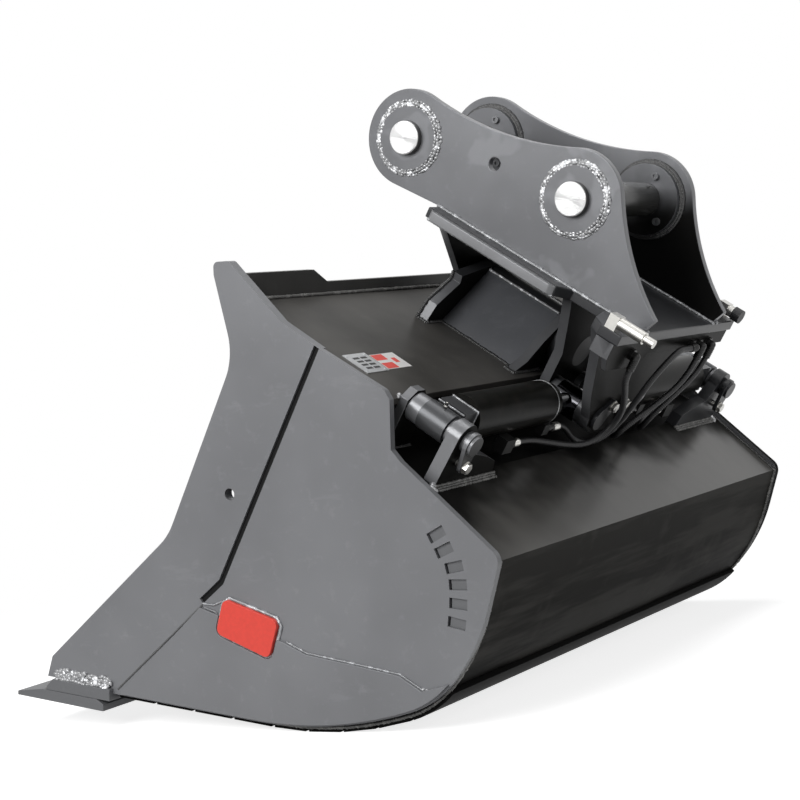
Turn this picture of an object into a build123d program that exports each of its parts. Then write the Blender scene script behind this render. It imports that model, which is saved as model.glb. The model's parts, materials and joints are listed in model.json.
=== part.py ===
from build123d import *
import os
from math import asin, atan2, cos, degrees, hypot, pi, radians, sin, sqrt, tan

# Tilt ditching bucket for an excavator of about twenty tonnes. Millimetres.
# Every piece is drawn with the bucket level: X across the bucket (near side is +X), Y to the rear,
# Z up, and Y = Z = 0 at the rear corner of the side plates. The tilt head and its two cylinders
# are drawn in the head frame: its Y runs along the tilt axis towards the rear, its Z stands square
# on the axis, and the axis itself is X = Z = 0. At the end all of it is turned onto the ground, as
# the bucket stands when nothing holds it: on the flat wear strip below its centre of mass.

# Driving dimensions of the bucket
bucket_width = 1500.0
side_plate_t = 16.0
cutter_t = 25.0
blade_overhang = 15.0
shell_t = 12.0
top_plate_t = 15.0
wear_strip_t = 12.0
wear_strip_gap = 8.0
wear_strip_end_gap = 1.0
last_arc_strip_count = 4
flat_strip_count = 4
standing_strip = 2
belly_z = -424.0
edge_stand = 10.0
corner_r = 30.0
rear_heading = -103.7
rear_straight = 105.0
rear_radii = (425.0, 250.0)
rear_turns = (26.0, 28.0)
level_heading = -180.0
base_edge_t = 28.0
base_edge_top = -412.0
base_edge_y = (-1210.0, -1014.0)
blade_t = 26.0
blade_tip_y = -1302.0
blade_tip_t = 10.0
blade_heel_y = -1033.0
blade_heel_bevel = 20.0
lifting_hole_r = 13.0
lifting_hole = (-671.0, 68.0)
groove_w = 14.0
groove_depth = 6.0
slot_length = 42.0
slot_w = 22.0
lip_t = 20.0
lip_y = -655.0
lip_bottom = 468.0
lip_top = 545.0
lip_low_top = 517.0
lip_step = (321.0, 269.0)
badge_t = 12.0
heel_plate_t = 8.0
heel_inset = 4.0
weld_room = 5.0
label_t = 1.5
decal_t = 0.5
rivet_r = 3.0
rivet_head_t = 1.2
rivet_room = 7.0

# The tilt axis: where it passes at the head frame's Y = 0, and its pitch down to the rear
axis_y = -563.4
axis_z = 535.3
axis_pitch = 27.68

# Levels of the bucket's plates in the head frame
top_plate_z = -75.0
top_plate_front = -50.0
top_plate_rear = 373.0
recess_z = -188.0
recess_rear = 515.0

# Pivot on the bucket
tube_r = 68.0
tube_y = (75.0, 375.0)
bush_wall = 10.0
bush_length = 70.0
tilt_pin_r = 40.0
running_gap = 0.05
washer_t = 4.0
pivot_plate_t = 16.0
pivot_side_y = (112.0, 327.0)
pivot_side_top = (41.0, 60.0)
pivot_side_foot_x = 160.0
front_gusset_y = (85.0, 112.0)
rear_gusset_y = (327.0, 350.0)

# Tilt head
ear_gap_half = 180.0
ear_t = 20.0
ear_r = 114.0
front_pin_at = (-143.0, 274.0)
rear_pin_at = (309.0, 350.0)
ear_saddle_r = 770.0
ear_back_r = 573.0
ear_heel = (607.0, 208.0)
ear_toe_y = -3.0
ear_hole_r = 15.0
ear_hole = (90.0, 325.0)
head_pin_r = 40.0
head_pin_proud = 17.0
head_pin_chamfer = 3.0
boss_r = 75.0
boss_proud = 8.0
inner_boss_r = 85.0
inner_boss_t = 22.0
boss_screw_r = 6.0
boss_screw_circle = 62.0
boss_screw_count = 3
screw_head_r = 9.0
screw_head_t = 8.0
socket_r = 4.5
head_base_z = 147.0
head_base_t = 25.0
head_base_y = (5.0, 597.0)
head_base_half = 245.0
head_base_rear_half = 310.0
stop_bar_w = 13.0
stop_bar_y = (15.0, 380.0)
front_lug_y = (45.0, 70.0)
front_lug_r = 62.0
clevis_gap_y = (405.0, 511.0)
clevis_t = 25.0
clevis_pivot_r = 75.0
rear_clevis_half = 282.0
neck_lead = 20.0
rod_pin_at = (65.0, -97.5)
rod_pin_r = 20.0
rod_boss_r = 38.0
pin_flange_r = 27.0
pin_flange_t = 10.0
tilt_pin_cap_r = 54.0
tilt_pin_cap_t = 10.0
cap_screw_circle = 42.0
cap_screw_count = 3
cap_screw_r = 8.0
cap_screw_t = 6.0
box_y = (542.0, 590.0)
box_panel_t = 12.0
box_low_z = 109.0
box_lobe_z = 81.0

# Cylinders
cap_pin_room = 74.0
cap_pin_z = -84.0
cap_pin_r = 20.0
pivot_gap = 0.06
eye_w = 68.0
cyl_y = 458.0
eye_r = 34.0
barrel_r = 50.0
barrel_bore_r = 41.0
rod_shown = 160.0
barrel_cap_depth = 100.0
ear_room = 48.0
gland_length = 45.0
gland_flange_t = 22.0
gland_bore_r = 37.5
rod_r = 22.5
piston_room = 67.0
piston_r = 26.0
piston_length = 40.0
rod_eye_r = 38.0
cyl_ear_r = 36.0
front_ear_t = 20.0
front_ear_spread = 20.0
rear_ear_y = (503.0, 533.0)
rear_ear_foot = (45.0, -194.0)
rear_ear_toe = ((-178.0, -74.0), (-134.0, -57.0), (-62.0, -40.0))
spacer_gap = 0.5
spacer_r = 28.0
sleeve_r = 32.0
keeper_off = (-6.0, -52.0)
keeper_gap = 10.0
keeper_r = 16.0
pin_end_r = 23.0
pin_end_t = 7.0
rod_keeper_off = (-33.0, 34.0)
keeper_bolt_r = 8.0
keeper_head_r = 13.0
keeper_head_t = 10.0
bolt_hole_rest = 5.0
port_off = (270.0, 230.0)
port_at = (504.0, -145.0)
rod_port_off = (5.0, 33.0)
port_half = 14.0
rod_port_half = 10.0
port_neck = 6.0
ferrule_nut = 14.0
rod_port_at = (500.0, -127.0)
ferrule_r = 9.0
cap_ferrule_length = 38.0
rod_ferrule_length = 55.0
nipple_r = 4.0
nipple_h = 12.0

# Hoses and fittings
hose_r = 7.5
elbow_y = 606.0
elbow_z = 118.0
elbow_drop = 30.0
elbow_reach = 25.0
nut_r = 14.0
nut_t = 8.0
near_elbow_x = 200.0
cross_elbow_x = -120.0
far_elbow_x = -215.0
inner_elbow_x = -160.0
coupler_x = 296.0
coupler_r = 14.0
coupler_tip_r = 10.0
coupler_y = (550.0, 575.0, 640.0, 665.0)
coupler_block_half = 14.0
coupler_rise = 19.0
dust_cap_r = 17.0
dust_cap_y = (590.0, 612.0)
dust_cap_depth = 10.0

# Worked out from these
half = bucket_width / 2
inner_half = half - side_plate_t
cutter_half = half - cutter_t
blade_half = half + blade_overhang
pipe_bore = tilt_pin_r + bush_wall
ear_out = ear_gap_half + ear_t
strip_reach = inner_half - wear_strip_end_gap
head_top = head_base_z + head_base_t
front_clevis_y = (clevis_gap_y[0] - clevis_t, clevis_gap_y[0])
rear_clevis_y = (clevis_gap_y[1], clevis_gap_y[1] + clevis_t)
eye_y = (cyl_y - eye_w / 2, cyl_y + eye_w / 2)
cap_pin_at = (inner_half - cap_pin_room, cap_pin_z)
keeper_at = (cap_pin_at[0] + keeper_off[0], cap_pin_at[1] + keeper_off[1])
rod_keeper_at = (rod_pin_at[0] + rod_keeper_off[0], rod_pin_at[1] + rod_keeper_off[1])
front_ear_y = (top_plate_rear, top_plate_rear + front_ear_t)
pin_distance = cap_pin_at[0] - rod_pin_at[0]
barrel_end = pin_distance - rod_shown
barrel_face_x = cap_pin_at[0] - barrel_end
rod_length = pin_distance - barrel_cap_depth - piston_room
port_block = (cap_pin_at[0] - port_off[0], cap_pin_at[0] - port_off[1])
rod_port_block = (barrel_face_x + rod_port_off[0], barrel_face_x + rod_port_off[1])
cap_ferrule_x = port_block[0] - cap_ferrule_length
rod_ferrule_x = rod_port_block[0] - rod_ferrule_length
flange_y = (rear_clevis_y[1], rear_clevis_y[1] + pin_flange_t)
head_frame = Pos(0, axis_y, axis_z) * Rot(-axis_pitch, 0, 0)

nodes = {}


def keep(name, shape):
    nodes[name] = shape


def keep_head(name, shape):
    nodes[name] = head_frame * shape


# Drawing helpers

def flat(*points):
    return make_face(Polyline(*points, close=True))


def disc(centre, radius):
    return Pos(centre[0], centre[1]) * Circle(radius)


def across(shape, x0, x1):
    return extrude(Plane.YZ.offset(x0) * shape, x1 - x0)


def along(shape, y0, y1):
    return extrude(Plane.XZ.offset(-y0) * shape, y0 - y1)


def upright(shape, z0, z1):
    return extrude(Plane.XY.offset(z0) * shape, z1 - z0)


def block(x, y, z):
    size = Box(x[1] - x[0], y[1] - y[0], z[1] - z[0])
    return Pos((x[0] + x[1]) / 2, (y[0] + y[1]) / 2, (z[0] + z[1]) / 2) * size


def other_side(shape):
    return mirror(shape, about=Plane.YZ)


def both_sides(shape):
    return Compound([*shape.solids(), *other_side(shape).solids()])


def mirrored_rim(rim):
    return flat(*rim, *[(-x, z) for x, z in reversed(rim)])


def soften(shape, point, radius):
    corner = shape.vertices().sort_by_distance(Vector(point[0], point[1], 0))[0]
    return fillet(corner, radius)


def heading(angle):
    return Vector(cos(radians(angle)), sin(radians(angle)), 0)


def ring_cross(a, ra, b, rb, side):
    """Where a circle about a meets a circle about b, on the left (side 1) or right (-1) of a to b."""
    gap = hypot(b[0] - a[0], b[1] - a[1])
    reach = (ra * ra - rb * rb + gap * gap) / (2 * gap)
    rise = side * sqrt(ra * ra - reach * reach)
    u = ((b[0] - a[0]) / gap, (b[1] - a[1]) / gap)
    return (a[0] + u[0] * reach - u[1] * rise, a[1] + u[1] * reach + u[0] * rise)


def towards(a, b, distance):
    gap = hypot(b[0] - a[0], b[1] - a[1])
    return (a[0] + (b[0] - a[0]) * distance / gap, a[1] + (b[1] - a[1]) * distance / gap)


def spots_round(centre, radius, count):
    turns = [radians(90 + i * 360 / count) for i in range(count)]
    return [(centre[0] + radius * cos(t), centre[1] + radius * sin(t)) for t in turns]


def arc_about(centre, radius, a0, a1):
    ends = [Vector(*centre, 0) + heading(a) * radius for a in (a0, (a0 + a1) / 2, a1)]
    return ThreePointArc(*ends)


# The rear and belly curve

def belly_run(start, inset=0.0):
    """The straight and three arcs from the rear corner to the level belly, drawn inset inwards.

    The last arc has the radius that brings the run level at belly_z.
    """
    point = Vector(*start, 0)
    turn_left = rear_heading - level_heading - sum(rear_turns)
    arcs = []
    angle = rear_heading
    corner = point + heading(angle) * rear_straight
    for radius, turn in zip(rear_radii, rear_turns):
        centre = corner + heading(angle - 90) * radius
        arcs.append((centre, radius, angle, turn))
        angle -= turn
        corner = centre + heading(angle + 90) * radius
    last_r = (corner.Y - belly_z) / (1 - cos(radians(turn_left)))
    arcs.append((corner + heading(angle - 90) * last_r, last_r, angle, turn_left))
    first = point + heading(rear_heading - 90) * inset
    edges = [Line(first, first + heading(rear_heading) * rear_straight)]
    for centre, radius, angle, turn in arcs:
        edges.append(arc_about((centre.X, centre.Y), radius - inset, angle + 90, angle + 90 - turn))
    return edges, arcs


def points_of(edges):
    return (edges[0] @ 0, edges[-1] @ 1)


side_edges, _ = belly_run((0.0, 0.0))
shell_start = (-edge_stand, -edge_stand)
shell_edges, shell_arcs = belly_run(shell_start)


# Side plates and cutters

plate_joint = [(-432.0, 394.0), (-691.0, -132.0), (-748.0, -182.0), (-1000.6, base_edge_top)]
cutter_tip = (-709.0, 568.0)
cutter_front = [(-708.0, 540.0), (-657.0, 366.0), (-845.0, -41.0), (-1202.0, -362.0)]
cutter_front.append((base_edge_y[0] - 8.0, base_edge_top))


def side_plate():
    top = [plate_joint[0], (-271.0, 317.0), (-258.0, 298.0), (-255.0, 196.0), (-232.0, 173.0)]
    start, end = points_of(side_edges)
    sill = (base_edge_y[1], belly_z)
    rim = Polyline(start, *reversed(top), *plate_joint[1:], (base_edge_y[1], base_edge_top), sill, end)
    shape = make_face([*side_edges, *rim.edges()])
    shape = soften(shape, (0, 0), corner_r)
    shape = soften(shape, top[1], 20.0)
    plate = across(shape, inner_half, half)
    for centre, turn in level_slots:
        slot = Pos(*centre) * Rot(0, 0, turn) * Rectangle(slot_length, slot_w)
        plate -= across(slot, inner_half - 1, half + 1)
    return plate


level_slots = (((-146.0, 33.0), 32.0), ((-128.0, 3.0), 28.0), ((-104.0, -29.0), 16.0),
               ((-95.0, -64.0), 6.0), ((-94.0, -103.0), 0.0), ((-97.0, -143.0), -6.0))


def groove_run(start, end):
    """Outline of the open joint between cutter and side plate, on the cutter's side of their line."""
    lean = degrees(atan2(end[1] - start[1], end[0] - start[0]))
    middle = ((start[0] + end[0]) / 2, (start[1] + end[1]) / 2)
    run = hypot(end[0] - start[0], end[1] - start[1])
    return Pos(*middle) * Rot(0, 0, lean) * Rectangle(run, 2 * groove_w)


def side_cutter():
    top_edge = [plate_joint[0], (-530.0, 446.0), (-668.0, 571.0), cutter_tip]
    shape = flat(*top_edge, *cutter_front, *reversed(plate_joint[1:]))
    shape = soften(shape, cutter_front[1], 140.0)
    shape = soften(shape, cutter_front[2], 150.0)
    shape = soften(shape, cutter_tip, 12.0)
    shape = soften(shape, (-668.0, 571.0), 12.0)
    plate = across(shape, cutter_half, half)
    for start, end in zip(plate_joint[:2], plate_joint[1:3]):
        plate -= across(groove_run(start, end), half - groove_depth, half + 1)
    plate -= across(disc(lifting_hole, lifting_hole_r), cutter_half - 1, half + 1)
    return plate


badge_corners = [(-683.0, -161.0), (-535.0, -193.0), (-560.0, -278.0), (-704.0, -240.0)]


def badge_outline(room=0.0):
    shape = flat(*badge_corners)
    shape = fillet(shape.vertices(), 16.0)
    if room:
        shape = offset(shape, room)
    return shape


def badge_plate():
    return across(badge_outline(), half, half + badge_t)


def heel_plate():
    """Wear plate along the foot of the side, cut out round the badge plate."""
    edges, _ = belly_run((0.0, 0.0), heel_inset)
    upper = [(-177.0, -293.0), (-232.0, -268.0), (-336.0, -262.0), (-467.0, -256.0), (-519.0, -239.0)]
    rim = Polyline(edges[2] @ 0, *upper, (-752.0, -190.0), (-990.0, belly_z + heel_inset), edges[-1] @ 1)
    shape = make_face([*edges[2:], *rim.edges()])
    shape -= badge_outline(weld_room)
    return across(shape, half, half + heel_plate_t)


# Shell plates

def belly_shell():
    inner, _ = belly_run(shell_start, shell_t)
    start, end = points_of(shell_edges)
    in_start, in_end = points_of(inner)
    sill = Polyline(end, (base_edge_y[1], belly_z), (base_edge_y[1], belly_z + shell_t), in_end)
    shape = make_face([*shell_edges, *sill.edges(), *inner, Line(in_start, start)])
    return across(shape, -inner_half, inner_half)


def in_level(y, z):
    """A point of the head frame's plane X = 0, in the level frame."""
    spot = (head_frame * Pos(0, y, z)).position
    return (spot.Y, spot.Z)


def slope_plate(shell, floor):
    top = in_level(recess_rear, recess_z)
    low = shell_start
    lean = atan2(top[1] - low[1], top[0] - low[0])
    drop = (-sin(lean) * shell_t, cos(lean) * shell_t)
    shape = flat(low, top, (top[0] + drop[0], top[1] + drop[1]), (low[0] + drop[0], low[1] + drop[1]))
    return across(shape, -inner_half, inner_half) - shell - floor


def full_width(y, z):
    return head_frame * block((-inner_half, inner_half), y, z)


def recess_floor():
    return full_width((top_plate_rear - shell_t, recess_rear), (recess_z - shell_t, recess_z))


def recess_wall():
    return full_width((top_plate_rear - shell_t, top_plate_rear), (recess_z, top_plate_z - top_plate_t))


def top_plate(cutters, lip):
    plate = full_width((top_plate_front, top_plate_rear), (top_plate_z - top_plate_t, top_plate_z))
    return plate - cutters[0] - cutters[1] - lip


def top_lip():
    low, high = half - lip_step[0], half - lip_step[1]
    rim = [(cutter_half, lip_bottom), (cutter_half, lip_top), (high, lip_top), (low, lip_low_top)]
    return along(mirrored_rim(rim), lip_y, lip_y + lip_t)


def base_edge():
    return block((-blade_half, blade_half), base_edge_y, (base_edge_top - base_edge_t, base_edge_top))


def cutting_blade():
    top = base_edge_top - base_edge_t
    bottom = top - blade_t
    rim = [(blade_tip_y, bottom), (blade_tip_y, bottom + blade_tip_t), (base_edge_y[0] - 10, top)]
    rim += [(blade_heel_y - blade_heel_bevel, top), (blade_heel_y, top - blade_heel_bevel / 2)]
    rim.append((blade_heel_y, bottom))
    return across(flat(*rim), -blade_half, blade_half)


def strip_on_arc(centre, radius, a0, a1, bent):
    mid = (centre.X, centre.Y)
    inner = arc_about(mid, radius, a0, a1)
    outer = arc_about(mid, radius + wear_strip_t, a0, a1)
    if not bent:
        outer = Line(outer @ 0, outer @ 1)
    shape = make_face([inner, outer, Line(inner @ 0, outer @ 0), Line(inner @ 1, outer @ 1)])
    return across(shape, -strip_reach, strip_reach)


def wear_strips():
    """A bent plate across the middle arc, then flat bars on the long arc and on the level part."""
    strips = []
    for (centre, radius, angle, turn), count in zip(shell_arcs[1:], (1, last_arc_strip_count)):
        space = degrees(wear_strip_gap / radius)
        step = turn / count
        for i in range(count):
            a0 = angle + 90 - i * step - space / 2
            strips.append(strip_on_arc(centre, radius, a0, a0 - step + space, count == 1))
    flat_start = points_of(shell_edges)[1].X
    step = (flat_start - base_edge_y[1]) / flat_strip_count
    for i in range(flat_strip_count):
        y1 = flat_start - i * step - wear_strip_gap / 2
        y0 = y1 - step + wear_strip_gap
        strips.append(block((-strip_reach, strip_reach), (y0, y1), (belly_z - wear_strip_t, belly_z)))
    return Compound([solid for strip in strips for solid in strip.solids()])


# Labels on the top plate, all in the head frame

data_plate_area = ((inner_half - 131.0, inner_half - 49.0), (202.0, 275.0))
decal_area = ((inner_half - 227.0, inner_half - 136.0), (212.0, 271.0))


def label(area, thickness):
    (x0, x1), (y0, y1) = area
    return block((x0, x1), (y0, y1), (top_plate_z, top_plate_z + thickness))


def rivets():
    (x0, x1), (y0, y1) = data_plate_area
    spots = [(x, y) for x in (x0 + rivet_room, x1 - rivet_room) for y in (y0 + rivet_room, y1 - rivet_room)]
    level = top_plate_z + label_t
    heads = [upright(disc(spot, rivet_r), level, level + rivet_head_t) for spot in spots]
    return Compound([solid for head in heads for solid in head.solids()])


# Pivot on the bucket, in the head frame

def pivot_tube():
    return along(disc((0, 0), tube_r) - disc((0, 0), pipe_bore), *tube_y)


def pivot_bushes():
    ring = disc((0, 0), pipe_bore) - disc((0, 0), tilt_pin_r + running_gap)
    front = along(ring, tube_y[0], tube_y[0] + bush_length)
    rear = along(ring, tube_y[1] - bush_length, tube_y[1])
    return Compound([*front.solids(), *rear.solids()])


def thrust_washers():
    ring = disc((0, 0), pipe_bore + 8) - disc((0, 0), tilt_pin_r + running_gap)
    front = along(ring, tube_y[0] - washer_t, tube_y[0])
    rear = along(ring, tube_y[1], tube_y[1] + washer_t)
    return Compound([*front.solids(), *rear.solids()])


def pivot_side_plates():
    top, foot = pivot_side_top, (pivot_side_foot_x, top_plate_z)
    run = hypot(foot[0] - top[0], foot[1] - top[1])
    inward = ((foot[1] - top[1]) / run * pivot_plate_t, (top[0] - foot[0]) / run * pivot_plate_t)
    inner_foot = (foot[0] - pivot_plate_t * run / (top[1] - foot[1]), foot[1])
    shape = flat(top, foot, inner_foot, (top[0] + inward[0], top[1] + inward[1]))
    plate = along(shape - disc((0, 0), tube_r), *pivot_side_y)
    return both_sides(plate)


def pivot_front_gusset():
    rim = [(48.0, 67.0), (154.0, 44.0), (149.0, 25.0), (211.0, -29.0), (226.0, top_plate_z)]
    return along(mirrored_rim(rim) - disc((0, 0), tube_r), *front_gusset_y)


def pivot_rear_gusset():
    rim = [(41.0, 60.0), (101.0, 2.0), (141.0, -51.0), (184.0, top_plate_z)]
    return along(mirrored_rim(rim) - disc((0, 0), tube_r), *rear_gusset_y)


# Cylinder mounting on the bucket, in the head frame, near side

def front_cyl_ear():
    x, z = cap_pin_at
    side, corner = cyl_ear_r, cyl_ear_r * tan(pi / 8)
    shape = flat((x + side, recess_z), (x + side, z + corner), (x + corner, z + side), (x - corner, z + side),
                 (x - side, z + corner), (x - side, z), (x - side - front_ear_spread, recess_z))
    return along(shape - disc(cap_pin_at, cap_pin_r), *front_ear_y)


def rear_cyl_ear(floor, slope):
    x, z = cap_pin_at
    foot = recess_z - shell_t
    outer_rim = [(x + cyl_ear_r, z), (x + rear_ear_foot[0], foot), (x + rear_ear_foot[1], foot)]
    toe = [(x + dx, z + dz) for dx, dz in rear_ear_toe]
    shape = flat(*outer_rim, *toe, (x - cyl_ear_r, z)) + disc(cap_pin_at, cyl_ear_r)
    ear = along(shape - disc(cap_pin_at, cap_pin_r) - disc(keeper_at, keeper_bolt_r), *rear_ear_y)
    return ear - floor - slope


def cap_pin():
    seat = rear_ear_y[1] + keeper_gap
    pin = along(disc(cap_pin_at, cap_pin_r), front_ear_y[0], seat)
    pin += along(disc(cap_pin_at, pin_end_r), rear_ear_y[1], seat + pin_flange_t + pin_end_t)
    return pin + along(keeper_flag(cap_pin_at, keeper_at), seat, seat + pin_flange_t)


def keeper_flag(pin_at, bolt_at):
    """Plate on a pin's end with the hole for the bolt that keeps the pin from turning."""
    run = hypot(bolt_at[0] - pin_at[0], bolt_at[1] - pin_at[1])
    side = ((bolt_at[1] - pin_at[1]) / run, (pin_at[0] - bolt_at[0]) / run)
    corners = [(at[0] + sign * reach * side[0], at[1] + sign * reach * side[1])
               for at, reach, sign in ((pin_at, pin_flange_r, 1), (bolt_at, keeper_r, 1),
                                       (bolt_at, keeper_r, -1), (pin_at, pin_flange_r, -1))]
    shape = flat(*corners) + disc(pin_at, pin_flange_r) + disc(bolt_at, keeper_r)
    return shape - disc(bolt_at, keeper_bolt_r)


def keeper_bolt(at, shank_start, seat):
    head = Pos(*at) * RegularPolygon(keeper_head_r, 6)
    shank = along(disc(at, keeper_bolt_r), shank_start, seat)
    return shank + along(head, seat, seat + keeper_head_t)


def cap_pin_bolt():
    return keeper_bolt(keeper_at, rear_ear_y[0] + bolt_hole_rest, rear_ear_y[1] + keeper_gap + pin_flange_t)


def rod_pin_bolt():
    return keeper_bolt(rod_keeper_at, rear_clevis_y[0] + bolt_hole_rest, flange_y[1])


def cap_spacers():
    """Sleeve before the cylinder's eye and thinner washer behind it."""
    sleeve = disc(cap_pin_at, sleeve_r) - disc(cap_pin_at, cap_pin_r)
    washer = disc(cap_pin_at, spacer_r) - disc(cap_pin_at, cap_pin_r)
    front = along(sleeve, front_ear_y[1], eye_y[0] - spacer_gap)
    rear = along(washer, eye_y[1] + spacer_gap, rear_ear_y[0])
    return Compound([*front.solids(), *rear.solids()])


# Tilt head plates, in the head frame

def ear_outline():
    a, b = front_pin_at, rear_pin_at
    saddle = ring_cross(a, ear_saddle_r + ear_r, b, ear_saddle_r + ear_r, 1)
    back = ring_cross(b, ear_back_r + ear_r, ear_heel, ear_back_r, 1)
    a_top, b_top = towards(a, saddle, ear_r), towards(b, saddle, ear_r)
    b_back = towards(b, back, ear_r)
    toe = (ear_toe_y, head_top)
    reach = hypot(toe[0] - a[0], toe[1] - a[1])
    turn = atan2(a[1] - toe[1], a[0] - toe[0]) + asin(ear_r / reach)
    run = sqrt(reach * reach - ear_r * ear_r)
    touch = (toe[0] + run * cos(turn), toe[1] + run * sin(turn))
    nose = towards(a, (a[0] - 1.0, a[1] + 0.2), ear_r)
    saddle_mid = towards(saddle, ((a[0] + b[0]) / 2, (a[1] + b[1]) / 2), ear_saddle_r)
    back_mid = towards(back, ((b_back[0] + ear_heel[0]) / 2, (b_back[1] + ear_heel[1]) / 2), ear_back_r)
    crown_mid = towards(b, (b[0] + 0.75, b[1] + 1.0), ear_r)
    edges = [ThreePointArc(touch, nose, a_top), ThreePointArc(a_top, saddle_mid, b_top)]
    edges += [ThreePointArc(b_top, crown_mid, b_back), ThreePointArc(b_back, back_mid, ear_heel)]
    rim = Polyline(ear_heel, (head_base_y[1] - 5, head_top), toe, touch)
    return make_face([*edges, *rim.edges()])


def ear():
    shape = ear_outline() - disc(ear_hole, ear_hole_r)
    for pin in (front_pin_at, rear_pin_at):
        shape -= disc(pin, boss_r)
    return across(shape, ear_gap_half, ear_out)


def pin_boss(pin):
    boss = across(disc(pin, boss_r), ear_gap_half, ear_out + boss_proud)
    boss += across(disc(pin, inner_boss_r), ear_gap_half - inner_boss_t, ear_gap_half)
    boss -= across(disc(pin, head_pin_r), 0, ear_out + 2 * boss_proud)
    for spot in boss_screw_spots(pin):
        boss -= across(disc(spot, boss_screw_r), ear_gap_half - inner_boss_t, ear_gap_half)
    return boss


def boss_screw_spots(pin):
    return spots_round(pin, boss_screw_circle, boss_screw_count)


def boss_screws(pin):
    face = ear_gap_half - inner_boss_t
    solids = []
    for spot in boss_screw_spots(pin):
        socket = Pos(*spot) * RegularPolygon(socket_r, 6)
        screw = across(disc(spot, boss_screw_r), face, ear_gap_half - 2)
        screw += across(disc(spot, screw_head_r), face - screw_head_t, face)
        screw -= across(socket, face - screw_head_t, face - screw_head_t / 2)
        solids += screw.solids()
    return solids


def head_pin(pin):
    reach = ear_out + boss_proud + head_pin_proud
    shaft = across(disc(pin, head_pin_r), -reach, reach)
    ends = shaft.faces().filter_by(Axis.X).edges()
    return chamfer(ends, head_pin_chamfer)


def head_base():
    y0, y1 = head_base_y
    wide, neck, rear = head_base_half, ear_out, head_base_rear_half
    notch_front, notch_rear = front_clevis_y
    rim = [(wide, y0), (wide, notch_front), (neck, notch_rear), (neck, clevis_gap_y[1] - neck_lead)]
    rim += [(rear_clevis_half, clevis_gap_y[1]), (rear, box_y[0]), (rear, y1)]
    return upright(mirrored_rim(rim), head_base_z, head_top)


def stop_bars():
    y0, y1 = stop_bar_y
    x0, x1 = head_base_half, head_base_half + stop_bar_w
    shape = flat((x0, y0), (x1, y0 + 12), (x1, y1 - 12), (x0, y1))
    return both_sides(upright(shape, head_base_z, head_top - 2))


def front_lug():
    shape = mirrored_rim([(head_base_half, head_base_z), (78.0, 19.0), (front_lug_r, 0.0)])
    shape += disc((0, 0), front_lug_r)
    return along(shape - disc((0, 0), tilt_pin_r), *front_lug_y)


def rod_bosses(shape):
    x, z = rod_pin_at
    lobes = flat((-x, z + rod_boss_r), (x, z + rod_boss_r), (x, z - rod_boss_r), (-x, z - rod_boss_r))
    return shape + lobes + disc((x, z), rod_boss_r) + disc((-x, z), rod_boss_r)


def rod_bores():
    x, z = rod_pin_at
    return disc((x, z), rod_pin_r) + disc((-x, z), rod_pin_r)


def front_clevis():
    x, z = rod_pin_at
    side = x + rod_boss_r
    shape = mirrored_rim([(190.0, head_base_z), (149.0, 81.0), (side, 0.0), (side, z)])
    shape = rod_bosses(shape) + disc((0, 0), clevis_pivot_r)
    plate = along(shape - disc((0, 0), tilt_pin_r) - rod_bores(), *front_clevis_y)
    rings = disc((x, z), rod_boss_r - 2) + disc((-x, z), rod_boss_r - 2) - rod_bores()
    return plate + along(rings, front_clevis_y[1], eye_y[0] - spacer_gap)


def rear_clevis():
    x, z = rod_pin_at
    side = x + rod_boss_r
    shape = mirrored_rim([(rear_clevis_half, head_base_z), (225.0, 83.0), (160.0, -26.0), (side, z)])
    shape = rod_bosses(shape) - rod_bores()
    for side in (1, -1):
        shape -= disc((side * rod_keeper_at[0], rod_keeper_at[1]), keeper_bolt_r)
    plate = along(shape, *rear_clevis_y)
    rings = disc((x, z), rod_boss_r - 2) + disc((-x, z), rod_boss_r - 2) - rod_bores()
    return plate + along(rings, eye_y[1] + spacer_gap, rear_clevis_y[0])


def rod_pin():
    pin = along(disc(rod_pin_at, rod_pin_r), front_clevis_y[0], rear_clevis_y[1])
    return pin + along(keeper_flag(rod_pin_at, rod_keeper_at), *flange_y)


def tilt_pin():
    return along(disc((0, 0), tilt_pin_r), front_lug_y[0], front_clevis_y[1])


def tilt_pin_cap():
    return along(disc((0, 0), tilt_pin_cap_r), front_lug_y[0] - tilt_pin_cap_t, front_lug_y[0])


def cap_screws():
    face = front_lug_y[0] - tilt_pin_cap_t
    solids = []
    for spot in spots_round((0, 0), cap_screw_circle, cap_screw_count):
        head = Pos(*spot) * RegularPolygon(cap_screw_r, 6)
        solids += along(head, face - cap_screw_t, face).solids()
    return solids


def rear_box():
    """Panel with its deeper near lobe, and the two end plates that join it to the rear clevis plate."""
    rear = head_base_rear_half
    lobe = [(rear, box_low_z), (289.0, box_lobe_z), (132.0, box_lobe_z), (106.0, box_low_z)]
    shape = flat((-rear, head_base_z), (rear, head_base_z), *lobe, (-rear, box_low_z))
    panel = along(shape, box_y[1] - box_panel_t, box_y[1])
    end = block((rear - box_panel_t, rear), (box_y[0], box_y[1] - box_panel_t), (box_low_z, head_base_z))
    return Compound([*panel.solids(), *both_sides(end).solids()])


# Hoses, fittings and couplings, in the head frame

def round_bar(start, end, radius):
    path = Line(start, end)
    return sweep(Plane(origin=path @ 0, z_dir=path % 0) * Circle(radius), path=path)


def panel_elbow(x, down):
    start = (x, box_y[1], elbow_z)
    bend = (x, elbow_y, elbow_z)
    end = (x, elbow_y, elbow_z - elbow_drop) if down else (x + elbow_reach, elbow_y, elbow_z)
    body = round_bar(start, bend, ferrule_r) + Pos(*bend) * Sphere(ferrule_r)
    body += round_bar(bend, end, ferrule_r)
    nut = along(Pos(x, elbow_z) * RegularPolygon(nut_r, 6), box_y[1], box_y[1] + nut_t)
    return (body + nut).solids()


def panel_elbows():
    solids = panel_elbow(cross_elbow_x, False)
    for x in (near_elbow_x, far_elbow_x, inner_elbow_x):
        solids += panel_elbow(x, True)
    return Compound(solids)


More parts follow.
